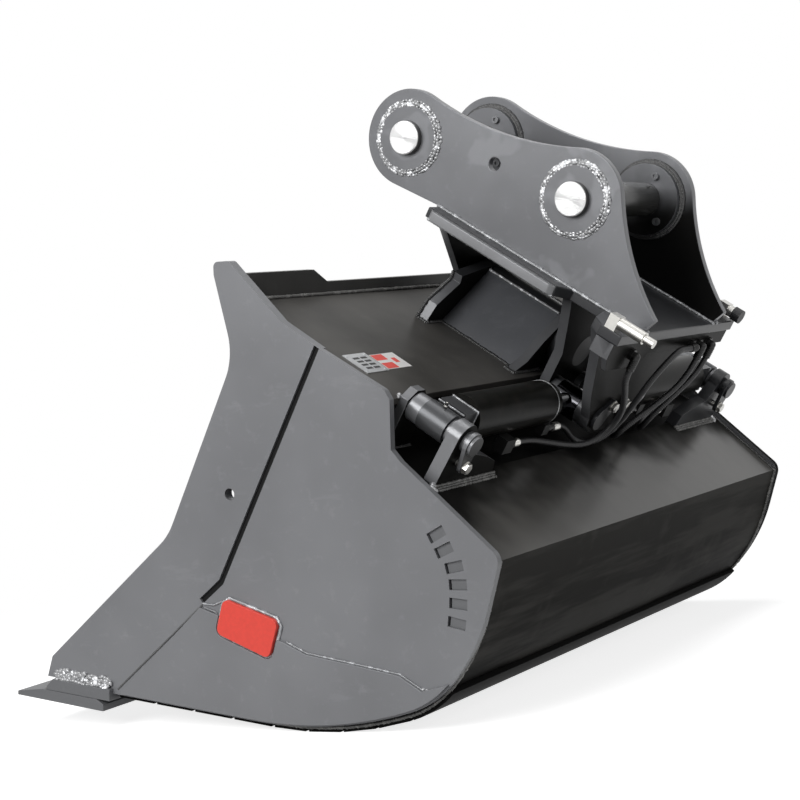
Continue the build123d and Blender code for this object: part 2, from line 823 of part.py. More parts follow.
def coupler(ends):
    y0, y1, y2, y3 = ends
    sides = (coupler_x - coupler_block_half, coupler_x + coupler_block_half)
    base = block(sides, (y0, y1), (head_top, head_top + coupler_rise + coupler_block_half))
    spot = (coupler_x, head_top + coupler_rise)
    body = along(disc(spot, coupler_r), y1, y2) + along(disc(spot, coupler_tip_r), y2, y3)
    return base + body


def dust_cap():
    spot = (-coupler_x, head_top + coupler_rise)
    cap = along(disc(spot, dust_cap_r), *dust_cap_y)
    cap -= along(disc(spot, coupler_tip_r), dust_cap_y[0], dust_cap_y[0] + dust_cap_depth)
    return cap


def hose(points):
    """A tube of straight runs and tangent arcs, each arc as large as its two runs allow."""
    spots = [Vector(*p) for p in points]
    runs = [b - a for a, b in zip(spots, spots[1:])]
    radii = []
    for one, two in zip(runs, runs[1:]):
        turn = radians(one.get_angle(two))
        radii.append(0.45 * min(one.length, two.length) / tan(turn / 2))
    path = FilletPolyline(*spots, radius=radii)
    tube = sweep(Plane(origin=path @ 0, z_dir=path % 0) * Circle(hose_r), path=path)
    ratio = tube.volume / (path.length * pi * hose_r ** 2)
    print("hose", round(path.length), "mm, radii", [round(r) for r in radii], "volume ratio", round(ratio, 4))
    return tube


def near_hose():
    return hose([(near_elbow_x, elbow_y, elbow_z - elbow_drop), (near_elbow_x, elbow_y, 60), (156, 604, 20),
                 (100, 596, -30), (66, 582, -82), (72, 568, -128), (118, 556, -152), (180, 538, -154),
                 (244, 518, -150), (304, *port_at), (cap_ferrule_x, *port_at)])


def cross_hose():
    return hose([(cross_elbow_x + elbow_reach, elbow_y, elbow_z), (-52, elbow_y, elbow_z), (-4, 614, 122),
                 (42, 618, 98), (58, 610, 50), (46, 598, -2), (24, 582, -56), (4, 564, -108), (16, 551, -148),
                 (56, 540, -166), (104, 520, -160), (146, *rod_port_at), (rod_ferrule_x, *rod_port_at)])


def far_hose():
    return hose([(far_elbow_x, elbow_y, elbow_z - elbow_drop), (far_elbow_x, elbow_y, 56), (-196, 602, 14),
                 (-168, 592, -34), (-152, 578, -84), (-164, 562, -128), (-202, 544, -152), (-252, 522, -151),
                 (-304, *port_at), (-cap_ferrule_x, *port_at)])


def inner_hose():
    return hose([(inner_elbow_x, elbow_y, elbow_z - elbow_drop), (inner_elbow_x, elbow_y, 54), (-144, 602, 8),
                 (-108, 592, -38), (-70, 578, -82), (-46, 562, -128), (-64, 544, -162), (-106, 522, -160),
                 (-146, *rod_port_at), (-rod_ferrule_x, *rod_port_at)])


# Cylinders, near side, in the head frame

def barrel():
    """Tube with its eye on a square neck."""
    x, z = cap_pin_at
    neck_x = x - cyl_ear_r - ear_room
    eye = along(disc(cap_pin_at, eye_r), *eye_y)
    neck = block((neck_x, x - eye_r), eye_y, (z - eye_r, z + eye_r))
    neck += block((x - eye_r, x), eye_y, (z - eye_r / 2, z + eye_r / 2))
    tube = across(disc((cyl_y, z), barrel_r), barrel_face_x, neck_x)
    tube -= across(disc((cyl_y, z), barrel_bore_r), barrel_face_x, x - barrel_cap_depth)
    tube = tube + neck + eye
    return tube - along(disc(cap_pin_at, cap_pin_r + pivot_gap), eye_y[0] - 1, eye_y[1] + 1)


def gland():
    z, face = cap_pin_at[1], barrel_face_x
    ring = disc((cyl_y, z), barrel_bore_r) - disc((cyl_y, z), gland_bore_r)
    flange = disc((cyl_y, z), barrel_r - 4) - disc((cyl_y, z), gland_bore_r)
    return across(ring, face, face + gland_length) + across(flange, face - gland_flange_t, face)


def port(room, at, end, size):
    """Block welded to the barrel, with its hex nut and the hose's ferrule pointing inwards."""
    (x0, x1), (y, level) = room, at
    barrel_body = across(disc((cyl_y, cap_pin_at[1]), barrel_r), 0, cap_pin_at[0])
    body = block(room, (y - size, y + size), (level - size, level + size + port_neck)) - barrel_body
    body += across(Pos(y, level) * RegularPolygon(ferrule_r, 6), x0 - ferrule_nut, x0)
    body += round_bar((x0 - ferrule_nut, y, level), (end, y, level), ferrule_r - 1)
    return body.solids()


def ports():
    """Both ports and the grease nipple of one cylinder."""
    solids = port(port_block, port_at, cap_ferrule_x, port_half)
    solids += port(rod_port_block, rod_port_at, rod_ferrule_x, rod_port_half)
    top = cap_pin_at[1] + eye_r
    stem = upright(disc((cap_pin_at[0], cyl_y), nipple_r), top - nipple_r, top + nipple_h)
    stem -= along(disc(cap_pin_at, eye_r), *eye_y)
    return Compound([*solids, *stem.solids()])


def rod():
    x, z = rod_pin_at
    stem = across(disc((cyl_y, z), rod_r), x, x + rod_length)
    stem += across(disc((cyl_y, z), piston_r), x + rod_length - piston_length, x + rod_length)
    eye = along(disc(rod_pin_at, rod_eye_r), *eye_y)
    return stem + eye - along(disc(rod_pin_at, rod_pin_r + pivot_gap), eye_y[0] - 1, eye_y[1] + 1)


# Put the nodes together

def make_bucket():
    near_side, near_cutter = side_plate(), side_cutter()
    keep("side_plate_near", near_side)
    keep("side_plate_far", other_side(near_side))
    keep("side_cutter_near", near_cutter)
    keep("side_cutter_far", other_side(near_cutter))
    keep("badge_plates", both_sides(badge_plate()))
    keep("heel_wear_plates", both_sides(heel_plate()))
    shell, floor, lip = belly_shell(), recess_floor(), top_lip()
    slope = slope_plate(shell, floor)
    keep("belly_shell", shell)
    keep("slope_plate", slope)
    keep("recess_floor", floor)
    keep("recess_wall", recess_wall())
    keep("top_lip", lip)
    keep("top_plate", top_plate((near_cutter, other_side(near_cutter)), lip))
    keep("base_edge", base_edge())
    keep("cutting_blade", cutting_blade())
    keep("wear_strips", wear_strips())
    keep_head("data_plate", label(data_plate_area, label_t))
    keep_head("blank_decal", label(decal_area, decal_t))
    keep_head("data_plate_rivets", rivets())
    floor_here, slope_here = head_frame.inverse() * floor, head_frame.inverse() * slope
    keep_head("cylinder_rear_ears", both_sides(rear_cyl_ear(floor_here, slope_here)))


def make_pivot():
    keep_head("pivot_tube", pivot_tube())
    keep_head("pivot_bushes", pivot_bushes())
    washers = [*thrust_washers().solids(), *both_sides(cap_spacers()).solids()]
    keep_head("pivot_washers", Compound(washers))
    keep_head("pivot_side_plates", pivot_side_plates())
    gussets = [*pivot_front_gusset().solids(), *pivot_rear_gusset().solids()]
    keep_head("pivot_gussets", Compound(gussets))
    keep_head("cylinder_front_ears", both_sides(front_cyl_ear()))
    keep_head("cap_pins", both_sides(cap_pin()))
    keep_head("cap_pin_bolts", both_sides(cap_pin_bolt()))


def make_head():
    near_ear = ear()
    keep_head("ear_near", near_ear)
    keep_head("ear_far", other_side(near_ear))
    keep_head("front_pin_bosses", both_sides(pin_boss(front_pin_at)))
    keep_head("rear_pin_bosses", both_sides(pin_boss(rear_pin_at)))
    near_screws = Compound(boss_screws(front_pin_at) + boss_screws(rear_pin_at))
    screws = [*both_sides(near_screws).solids(), *cap_screws()]
    keep_head("head_screws", Compound(screws))
    keep_head("front_pin", head_pin(front_pin_at))
    keep_head("rear_pin", head_pin(rear_pin_at))
    keep_head("head_base_plate", head_base())
    keep_head("stop_bars", stop_bars())
    keep_head("front_pivot_lug", front_lug())
    keep_head("front_clevis_plate", front_clevis())
    keep_head("rear_clevis_plate", rear_clevis())
    keep_head("rod_pins", both_sides(rod_pin()))
    keep_head("rod_pin_bolts", both_sides(rod_pin_bolt()))
    keep_head("tilt_pin", tilt_pin())
    keep_head("tilt_pin_cap", tilt_pin_cap())
    keep_head("rear_box", rear_box())
    keep_head("hose_elbows", panel_elbows())
    keep_head("coupler_near", coupler(coupler_y))
    y0, y1, _, _ = coupler_y
    far_ends = (y0, y1, dust_cap_y[0], dust_cap_y[0] + dust_cap_depth)
    keep_head("coupler_far", other_side(coupler(far_ends)))
    keep_head("dust_cap", dust_cap())


def make_cylinders():
    tube, ring, stem = barrel(), gland(), rod()
    fittings = ports()
    keep_head("barrel_near", tube)
    keep_head("barrel_far", other_side(tube))
    keep_head("gland_near", ring)
    keep_head("gland_far", other_side(ring))
    keep_head("ports_near", fittings)
    keep_head("ports_far", other_side(fittings))
    keep_head("rod_near", stem)
    keep_head("rod_far", other_side(stem))
    keep_head("hose_near", near_hose())
    keep_head("hose_cross", cross_hose())
    keep_head("hose_far", far_hose())
    keep_head("hose_inner", inner_hose())


def stand_turn():
    """The turn about X that sets one of the long arc's strips, counted from the level part, on the ground."""
    return -shell_arcs[-1][3] * (standing_strip - 0.5) / last_arc_strip_count


make_bucket()
make_pivot()
make_head()
make_cylinders()

turn_down = Rot(stand_turn(), 0, 0)
whole = Compound([turn_down * shape for shape in nodes.values()]).bounding_box()
stand = Pos(0, -(whole.min.Y + whole.max.Y) / 2, -whole.min.Z) * turn_down

os.makedirs("parts", exist_ok=True)
for name, shape in nodes.items():
    export_step(stand * shape, f"parts/{name}.step")
print(len(nodes), "nodes, turn", round(stand_turn(), 3), "origin shift", stand.position)
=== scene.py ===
import json
from math import cos, hypot, pi, radians, sin

import bmesh
import bpy
from mathutils import Matrix, Vector


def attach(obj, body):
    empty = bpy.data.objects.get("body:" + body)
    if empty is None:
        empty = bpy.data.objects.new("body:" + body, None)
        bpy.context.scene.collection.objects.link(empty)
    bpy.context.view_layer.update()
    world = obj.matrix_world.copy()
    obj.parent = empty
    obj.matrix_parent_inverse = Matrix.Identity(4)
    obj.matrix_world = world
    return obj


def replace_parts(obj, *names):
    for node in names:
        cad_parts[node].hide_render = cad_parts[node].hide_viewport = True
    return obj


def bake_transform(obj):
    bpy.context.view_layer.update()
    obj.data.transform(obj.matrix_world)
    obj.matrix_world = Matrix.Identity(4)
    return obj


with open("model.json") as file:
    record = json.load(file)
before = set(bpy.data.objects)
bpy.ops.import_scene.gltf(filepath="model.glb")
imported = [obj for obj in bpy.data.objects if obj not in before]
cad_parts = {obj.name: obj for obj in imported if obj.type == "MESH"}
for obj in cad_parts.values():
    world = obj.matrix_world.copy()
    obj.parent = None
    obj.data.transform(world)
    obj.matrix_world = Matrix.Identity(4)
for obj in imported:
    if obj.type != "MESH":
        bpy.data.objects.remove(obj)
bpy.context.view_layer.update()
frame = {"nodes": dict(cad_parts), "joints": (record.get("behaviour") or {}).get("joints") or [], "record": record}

# Lengths are in millimetres in two frames of the part, and pieces are made in metres from them.
# The head frame has its Y along the tilt axis and its Z square on it; the level frame is the
# bucket with its belly level, from the rear corner of the side plates.

MM = 0.001
TILT_JOINT = "head_tilt"
TILT_JOINT_Y = 225.0
AXIS_Y = -563.4
AXIS_Z = 535.3
AXIS_PITCH = radians(27.68)

# Bucket
HALF = 750.0
INNER_HALF = 734.0
CUTTER_HALF = 725.0
EDGE_STAND = 10.0
GROOVE_FLOOR = (2.0, 7.0)  # the cutter's joint has its floor between these depths
SHELL_T = 12.0
REAR_HEADING = -103.7
REAR_STRAIGHT = 105.0
REAR_ARCS = ((425.0, 26.0), (250.0, 28.0), (930.02, 22.3))
BASE_EDGE_TOP = -412.0
BASE_EDGE_T = 28.0
NOSE = 20.0  # width of the chamfer on the base edge
BASE_EDGE_Y = (-1210.0, -1014.0)
BLADE_HALF = 765.0
LIP_REAR_Y = -635.0
LIP_TOP_Z = 489.0
TOP_PLATE_Z = -75.0
TOP_PLATE_Y = (-50.0, 373.0)
RECESS_Z = -188.0
RECESS_REAR = 515.0
SLOPE_END = (743.4, -225.8)
# Outlines as Y and Z in the level frame: the heel plate's top and the badge plate
HEEL_TOP = ((-177.0, -293.0), (-232.0, -268.0), (-336.0, -262.0), (-467.0, -256.0),
            (-519.0, -239.0))
BADGE = ((-683.0, -161.0), (-535.0, -193.0), (-560.0, -278.0), (-704.0, -240.0))
# The labels as X and Y in the head frame, and where the painted shade on the shell and the slope gives way to
# their paint
DATA_PLATE = ((603.0, 685.0), (202.0, 275.0))
DECAL = ((507.0, 598.0), (212.0, 271.0))
SHELL_SHADE_Z = 200.0
SLOPE_SHADE_END_Y = 568.0
LABEL_T = 1.5
DECAL_T = 0.5
# Middle and turn in degrees of each slot, and the size and seat of the rib end behind it
SLOTS = (((-146.0, 33.0), 32.0), ((-128.0, 3.0), 28.0), ((-104.0, -29.0), 16.0),
         ((-95.0, -64.0), 6.0), ((-94.0, -103.0), 0.0), ((-97.0, -143.0), -6.0))
TAB = (10.0, 38.6, 21.4)
TAB_SUNK = 5.5
TAB_SHIFT = 1.5

# Head: pins are given by their Y and Z
EAR_GAP_HALF = 180.0
EAR_OUT = 200.0
FRONT_PIN = (-143.0, 274.0)
REAR_PIN = (309.0, 350.0)
PIN_BRIGHT_X = 222.5  # the hitch pins are bright beyond it
BOSS_R = 75.0
INNER_BOSS_R = 85.0
BASE_Z = 147.0
BASE_TOP = 172.0

# Cylinders and hoses
CAP_PIN = (660.0, -84.0)
CYL_Y = 458.0
EYE_Y = (424.0, 492.0)
EYE_R = 34.0
NECK_X = 576.0
EYE_GREY_X = 578.0  # the cylinders are grey beyond it
BARREL_R = 50.0
BARREL_FACE_X = 225.0
KEEPER = (654.0, -136.0)
KEEPER_SEAT_Y = 553.0
ROD_KEEPER = (32.0, -63.5)
ROD_KEEPER_SEAT_Y = 546.0
REAR_EAR_Y = 533.0
REAR_EAR_FOOT = (466.0, 705.0)
FRONT_EAR_Y = (373.0, 393.0)
FRONT_EAR_FOOT = (604.0, 696.0)
HOSE_R = 7.5
ELBOW_Y = 606.0
ELBOW_DROPS_X = (200.0, -215.0, -160.0)
ELBOW_DROP_Z = (112.0, 84.0)
CROSS_ELBOW_X = (-118.0, -91.0)
CROSS_ELBOW_Z = 118.0
# Each port's hose end on a barrel: its outer and inner X, and its Y and Z
PORTS = ((376.0, 351.0, (504.0, -145.0)), (200.0, 174.0, (500.0, -127.0)))


def head_transform():
    """The head frame in metres, from the joint that the head tilts on."""
    joint = next(j for j in frame["joints"] if j["name"] == TILT_JOINT)
    along = Vector(joint["axis"])
    across = Vector((1, 0, 0))
    square = across.cross(along)
    turn = Matrix((across, along, square)).transposed().to_4x4()
    return Matrix.Translation(Vector(joint["pos_m"]) - TILT_JOINT_Y * MM * along) @ turn


record = frame["record"]
BODY_OF = {node: body for body, nodes in record["behaviour"]["bodies"].items() for node in nodes}
HEAD = head_transform()
AXIS_PLACE = Matrix.Translation((0, AXIS_Y * MM, AXIS_Z * MM))
LEVEL = HEAD @ (AXIS_PLACE @ Matrix.Rotation(-AXIS_PITCH, 4, "X")).inverted()


def placed(transform, x, y, z):
    return transform @ Vector((x * MM, y * MM, z * MM))


# Node trees

class Wire:
    """An output of a node. Arithmetic on it adds the Math nodes that work it out."""

    def __init__(self, graph, socket):
        self.graph = graph
        self.socket = socket

    def math(self, operation, *values):
        return self.graph.node("ShaderNodeMath", dict(enumerate(values)), operation=operation)

    def part(self, name):
        """Another output of the same node."""
        return Wire(self.graph, self.socket.node.outputs[name])

    def __add__(self, other):
        return self.math("ADD", self, other)

    def __sub__(self, other):
        return self.math("SUBTRACT", self, other)

    def __rsub__(self, other):
        return self.math("SUBTRACT", other, self)

    def __mul__(self, other):
        return self.math("MULTIPLY", self, other)

    def __truediv__(self, other):
        return self.math("DIVIDE", self, other)

    def __abs__(self):
        return self.math("ABSOLUTE", self)

    def sine(self):
        return self.math("SINE", self)

    def root(self):
        return self.math("SQRT", self)

    def above(self, level, softness):
        """0 below the level, 1 above it, with a soft step."""
        values = {"Value": self, "From Min": level - softness, "From Max": level + softness}
        return self.graph.node("ShaderNodeMapRange", values, interpolation_type="SMOOTHSTEP")

    __radd__ = __add__


class Graph:
    """A node tree, and the one way in which nodes are put into it."""

    def __init__(self, tree):
        self.tree = tree

    def node(self, kind, values=None, out=0, **settings):
        made = self.tree.nodes.new(kind)
        for name, value in settings.items():
            setattr(made, name, value)
        for place, value in (values or {}).items():
            self.feed(made.inputs[place], value)
        return Wire(self, made.outputs[out]) if len(made.outputs) else made

    def feed(self, socket, value):
        if isinstance(value, Wire):
            self.tree.links.new(value.socket, socket)
        elif isinstance(value, tuple) and len(value) == 3 and socket.type == "RGBA":
            socket.default_value = (*value, 1.0)
        else:
            socket.default_value = value

    def mix(self, factor, first, second):
        values = {0: factor, 6: first, 7: second}
        return self.node("ShaderNodeMix", values, out=2, data_type="RGBA")


class Finish(Graph):
    """A material under construction, with the patterns that more than one finish uses."""

    def __init__(self, name):
        self.material = bpy.data.materials.new(name)
        self.material.use_nodes = True
        super().__init__(self.material.node_tree)
        self.tree.nodes.clear()
        self.here = self.node("ShaderNodeTexCoord", out="Object")

    def noise(self, scale, detail=2.0, rough=0.5, stretch=None):
        place = self.here
        if stretch:
            place = self.node("ShaderNodeMapping", {"Vector": place, "Scale": stretch})
        values = {"Vector": place, "Scale": scale, "Detail": detail, "Roughness": rough}
        return self.node("ShaderNodeTexNoise", values)

    def axis(self, name):
        """Each point's X, Y or Z."""
        return self.node("ShaderNodeSeparateXYZ", {"Vector": self.here}, out=name)

    def bump(self, height, distance, strength):
        values = {"Height": height, "Distance": distance, "Strength": strength}
        return self.node("ShaderNodeBump", values)

    def along(self, direction):
        """How far each point lies along a direction."""
        values = {0: self.here, 1: tuple(direction)}
        return self.node("ShaderNodeVectorMath", values, out="Value", operation="DOT_PRODUCT")

    def shader(self, **sockets):
        """A Principled shader; names are written with _ for a space."""
        values = {name.replace("_", " "): value for name, value in sockets.items()}
        return self.node("ShaderNodeBsdfPrincipled", values)

    def end(self, surface):
        self.node("ShaderNodeOutputMaterial", {"Surface": surface})
        return self.material

    def done(self, **sockets):
        return self.end(self.shader(**sockets))


# Finishes

TURNING_PITCH = 0.0016  # metres


def toned(colour, factor):
    """A lighter or darker tone of a colour."""
    return tuple(min(1.0, c * factor) for c in colour)


def paint(name, colour, roughness, metallic=0.0, mottle=0.10, specular=0.35, sheen_patch=0.0):
    """Sprayed satin paint over rolled plate: clouded in tone, scuffed, with a faint orange peel, and, where a
    share is given for them, pale patches that are painted reflection.
    """
    f = Finish(name)
    cloud = f.noise(2.6, 3.0, 0.55)
    fine = f.noise(38.0, 3.0, 0.6)
    grain = f.noise(620.0, 2.0, 0.7)
    scuff = f.noise(7.0, 5.0, 0.72, (1.0, 0.55, 2.1))
    sheen_noise = f.noise(8.0, 2.5, 0.5)
    pale = toned(colour, 1.9)
    tone = f.mix(cloud.above(0.5, 0.22), toned(colour, 1 - mottle), toned(colour, 1 + mottle))
    tone = f.mix(fine.above(0.66, 0.10) * 0.12, tone, pale)
    tone = f.mix(scuff.above(0.62, 0.05) * 0.10, tone, pale)
    # Painted reflection: pale patches laid over the paint.
    tone = f.mix(sheen_noise.above(0.60, 0.025) * sheen_patch, tone, pale)
    tone = f.mix(grain.above(0.5, 0.16) * 0.10, tone, toned(colour, 0.5))
    waves = f.noise(9.0, 2.0)
    normal = f.bump(f.noise(420.0, 1.0) * 0.35 + waves * 4.0, 0.0006, 0.30)
    rough = roughness - 0.06 + cloud * 0.10 + fine * 0.04
    return f.done(Base_Color=tone, Roughness=rough, Metallic=metallic,
                  Specular_IOR_Level=specular, Normal=normal)


def plain(name, colour, roughness, metallic=0.0, specular=0.5):
    f = Finish(name)
    speck = f.noise(120.0, 2.0)
    tone = f.mix(speck.above(0.5, 0.3), toned(colour, 0.92), colour)
    return f.done(Base_Color=tone, Roughness=roughness, Metallic=metallic,
                  Specular_IOR_Level=specular)


def machined_pin():
    """Turned ends with fine rings, and dark oiled steel between the ears."""
    f = Finish("turned_steel")
    end = abs(f.axis("X")).above(PIN_BRIGHT_X * MM, 0.001)
    rings = ring_pattern(f, FRONT_PIN) + ring_pattern(f, REAR_PIN)
    film = f.noise(30.0, 3.0)
    bright = f.mix(film.above(0.55, 0.12), (0.72, 0.72, 0.72), (0.60, 0.60, 0.60))
    tone = f.mix(end, (0.050, 0.050, 0.048), bright)
    normal = f.bump(rings * end, 0.0002, 0.5)
    return f.done(Base_Color=tone, Roughness=film * 0.14 + 0.16, Metallic=end * 0.85, Normal=normal)


def ring_pattern(f, pin):
    """Fine turning marks round a hitch pin's middle."""
    centre = placed(HEAD, 0, *pin)
    y, z = f.axis("Y") - centre.y, f.axis("Z") - centre.z
    return ((y * y + z * z).root() * (2 * pi / TURNING_PITCH)).sine()


def weld_metal(name, colour, spread, metallic=0.45):
    """Painted weld bead: glossy enough that each ripple catches the light, with rubbed spots."""
    f = Finish(name)
    grain = f.noise(180.0, 2.0)
    rubbed = f.noise(60.0, 2.0).above(0.57, 0.05)
    tone = f.mix(rubbed, colour, toned(colour, spread))
    return f.done(Base_Color=tone, Roughness=0.32, Metallic=metallic, Coat_Weight=0.2,
                  Normal=f.bump(grain, 0.0002, 0.3))


def shell_finish():
    """Dull dark paint on the rolled shell, streaked along it, and darkened towards the belly by painted shade."""
    f = Finish("shell_paint")
    # Painted shade: below this height the shell's paint falls to nearly black.
    unshaded = f.axis("Z").above(SHELL_SHADE_Z * MM, 0.20)
    streak = f.noise(3.2, 4.0, 0.6, (0.35, 2.2, 3.4))
    cloud = f.noise(5.0, 4.0, 0.6)
    base = f.mix(unshaded, (0.007, 0.0068, 0.0064), (0.066, 0.0643, 0.0604))
    tone = f.mix(streak.above(0.50, 0.07) * 0.70, base, (0.120, 0.117, 0.109))
    tone = f.mix(cloud.above(0.60, 0.07) * 0.35, tone, (0.150, 0.146, 0.137))
    normal = f.bump(streak * 1.6 + cloud, 0.0010, 0.30)
    return f.done(Base_Color=tone, Roughness=cloud * 0.14 + 0.36, Specular_IOR_Level=0.006,
                  Normal=normal)


def slope_finish():
    """Warm dark paint, with painted shade that makes it nearly black next to the recess, more so on the near side,
    and gives way to the paint towards the rear.
    """
    f = Finish("slope_paint")
    back = HEAD.to_3x3() @ Vector((0, 1, 0))
    reach = f.along(back) - HEAD.translation.dot(back)
    cloud = f.noise(6.0, 2.5, 0.5)
    streak = f.noise(6.0, 3.0, 0.55, (1.0, 0.5, 0.5))
    near = f.along((1, 0, 0)).above(0.50, 0.16)
    # Painted shade: nearly black next to the recess, reaching further back on the near side, with a cloudy edge.
    unshaded = (reach + (cloud - 0.5) * 0.30 - near * 0.085).above(SLOPE_SHADE_END_Y * MM, 0.075)
    tone = f.mix(streak.above(0.5, 0.16), (0.076, 0.0735, 0.068), (0.102, 0.099, 0.092))
    normal = f.bump(f.noise(9.0, 2.0), 0.0020, 0.25)
    painted = f.shader(Base_Color=tone, Roughness=streak * 0.12 + 0.24,
                       Specular_IOR_Level=0.34, Normal=normal)
    painted_shade = f.shader(Base_Color=(0.010, 0.0097, 0.0092), Roughness=0.55, Specular_IOR_Level=0.02)
    return f.end(f.node("ShaderNodeMixShader", {0: unshaded, 1: painted_shade, 2: painted}))


def inner_finish(colour):
    """The head's paint between its ears, with painted shade that takes it to nearly black below the rear pin."""
    f = Finish("inner_paint")
    height = f.along((0, 0, 1)) - placed(HEAD, 0, *REAR_PIN).z
    cloud = f.noise(9.0, 3.0, 0.6)
    # Painted shade: darker towards the base plate, below the rear pin.
    unshaded = (height + (cloud - 0.5) * 0.05).above(-0.012, 0.045)
    rubbed = f.mix(cloud.above(0.55, 0.08) * 0.35, colour, (0.30, 0.304, 0.315))
    tone = f.mix(unshaded, (0.012, 0.0118, 0.0115), rubbed)
    return f.done(Base_Color=tone, Roughness=0.30, Metallic=unshaded * 0.25, Specular_IOR_Level=0.12)


def cylinder_finish():
    """Black over the tubes and the grey of the ears over the eyes on their outer ends."""
    f = Finish("cylinder_paint")
    outer = abs(f.axis("X")).above(EYE_GREY_X * MM, 0.002)
    cloud = f.noise(24.0, 3.0)
    black = f.mix(cloud.above(0.6, 0.2), (0.008, 0.008, 0.007), (0.016, 0.015, 0.013))
    tone = f.mix(outer, black, (0.090, 0.092, 0.096))
    normal = f.bump(f.noise(300.0, 1.0), 0.0003, 0.25)
    return f.done(Base_Color=tone, Roughness=cloud * 0.10 + 0.25, Metallic=outer * 0.5,
                  Specular_IOR_Level=0.06, Normal=normal)


HEAD_GREY = (0.196, 0.199, 0.209)
BLACK = (0.012, 0.012, 0.012)
side_paint = paint("side_paint", (0.224, 0.227, 0.238), 0.40, metallic=0.15)
edge_paint = paint("edge_paint", (0.160, 0.163, 0.170), 0.44, metallic=0.15)
# The ears' stronger clouding and their pale patches are painted reflection of their metallic sheen.
head_paint = paint("head_paint", HEAD_GREY, 0.30, metallic=0.25, mottle=0.16, sheen_patch=0.26)
inner_paint = inner_finish(HEAD_GREY)
bar_paint = paint("bar_paint", (0.270, 0.273, 0.282), 0.34, metallic=0.20)
# The slope, top, shell and lip paints are darker than the side grey partly for their own tone and partly as
# painted shade, for the less light that reaches those faces.
slope_paint = slope_finish()
# The top plate's pale patches are painted reflection.
top_paint = paint("top_paint", (0.078, 0.075, 0.070), 0.34, specular=0.06, mottle=0.40, sheen_patch=0.10)
shell_paint = shell_finish()
# The wear strips' near-black paint, which the far side plate's rim also takes as painted shade.
strip_paint = paint("strip_paint", (0.013, 0.0127, 0.0122), 0.45, specular=0.006)
shade_paint = paint("recess_paint", (0.008, 0.0079, 0.0076), 0.40, specular=0.04)
lip_paint = paint("lip_paint", (0.064, 0.063, 0.060), 0.38, specular=0.20, mottle=0.3)
# The pivot's dark paint, which the cylinder ears and cap pins over the far half also take as painted shade.
pivot_paint = paint("pivot_paint", (0.034, 0.035, 0.038), 0.32, mottle=0.2)
# Painted light: a lighter grey on the pivot plates' side faces, where the key lamp falls, over their dark paint
# elsewhere.
end_paint = paint("end_paint", (0.120, 0.122, 0.128), 0.32, metallic=0.2, mottle=0.25)
# Painted shade: near black on the faces of the pivot plates and the cylinder ears that look back along the tilt
# axis.
turned_paint = paint("turned_paint", (0.012, 0.0118, 0.011), 0.34, specular=0.04, mottle=0.3)
# Painted shade: dark grey on the rear-facing ends of the cap pins and rod pins.
pin_end_paint = paint("pin_end_paint", (0.040, 0.040, 0.041), 0.32, specular=0.3)
# Black laid on the floor of the cutter's joint as painted shade, so that the whole groove looks shadowed.
seam_paint = plain("seam_paint", BLACK, 0.6, specular=0.1)
panel_paint = paint("panel_paint", (0.092, 0.095, 0.103), 0.34)
link_paint = paint("link_paint", (0.215, 0.218, 0.227), 0.28, metallic=0.30)
badge_paint = plain("badge_red", (0.95, 0.080, 0.055), 0.42)
cylinder_paint = cylinder_finish()
fitting_paint = paint("fitting_paint", BLACK, 0.34, mottle=0.2)
pin_steel = machined_pin()
zinc = plain("zinc_plate", (0.62, 0.61, 0.58), 0.30, metallic=0.9)
bronze = plain("bush_bronze", (0.55, 0.38, 0.18), 0.35, metallic=0.9)
# The chrome rods get a near-black base as a painted reflection of dark surroundings.
rod_steel = plain("rod_steel", (0.06, 0.06, 0.065), 0.14, metallic=1.0)
rubber = plain("hose_rubber", (0.016, 0.016, 0.017), 0.42, specular=0.4)
cap_plastic = plain("cap_plastic", (0.015, 0.015, 0.016), 0.5)
label_metal = plain("label_metal", (0.62, 0.63, 0.64), 0.32, metallic=0.6)
label_ink = plain("label_ink", (0.02, 0.02, 0.02), 0.5)
decal_white = plain("decal_white", (0.80, 0.79, 0.77), 0.45)
decal_red = plain("decal_red", (0.80, 0.07, 0.05), 0.45)
side_weld = weld_metal("side_weld", (0.27, 0.275, 0.285), 1.9)
shell_weld = weld_metal("shell_weld", (0.075, 0.074, 0.070), 2.2, metallic=0.2)
dark_weld = weld_metal("dark_weld", (0.030, 0.030, 0.030), 1.8, metallic=0.0)
bright_weld = weld_metal("bright_weld", (0.34, 0.343, 0.35), 2.7)

FINISHES = {
    "side_plate_near side_plate_far side_cutter_near side_cutter_far heel_wear_plates": side_paint,
    "base_edge cutting_blade": edge_paint,
    "badge_plates": badge_paint,
    "belly_shell": shell_paint,
    "wear_strips": strip_paint,
    "slope_plate": slope_paint,
    "top_plate": top_paint,
    "recess_floor recess_wall": shade_paint,
    "top_lip": lip_paint,
    "ear_near ear_far front_pin_bosses rear_pin_bosses": head_paint,
    "stop_bars": bar_paint,
    "head_base_plate front_pivot_lug front_clevis_plate rear_clevis_plate rear_box": pivot_paint,
    "pivot_tube pivot_gussets rod_pins tilt_pin tilt_pin_cap": pivot_paint,
    "pivot_side_plates": panel_paint,
    "cylinder_front_ears cylinder_rear_ears cap_pins pivot_washers head_screws": link_paint,
    "front_pin rear_pin": pin_steel,
    "cap_pin_bolts rod_pin_bolts coupler_near coupler_far": zinc,
    "barrel_near barrel_far gland_near gland_far": cylinder_paint,
    "ports_near ports_far hose_elbows": fitting_paint,
    "pivot_bushes": bronze,
    "rod_near rod_far": rod_steel,
    "hose_near hose_cross hose_far hose_inner": rubber,
    "dust_cap": cap_plastic,
    "data_plate data_plate_rivets": label_metal,
    "blank_decal": decal_white,
}

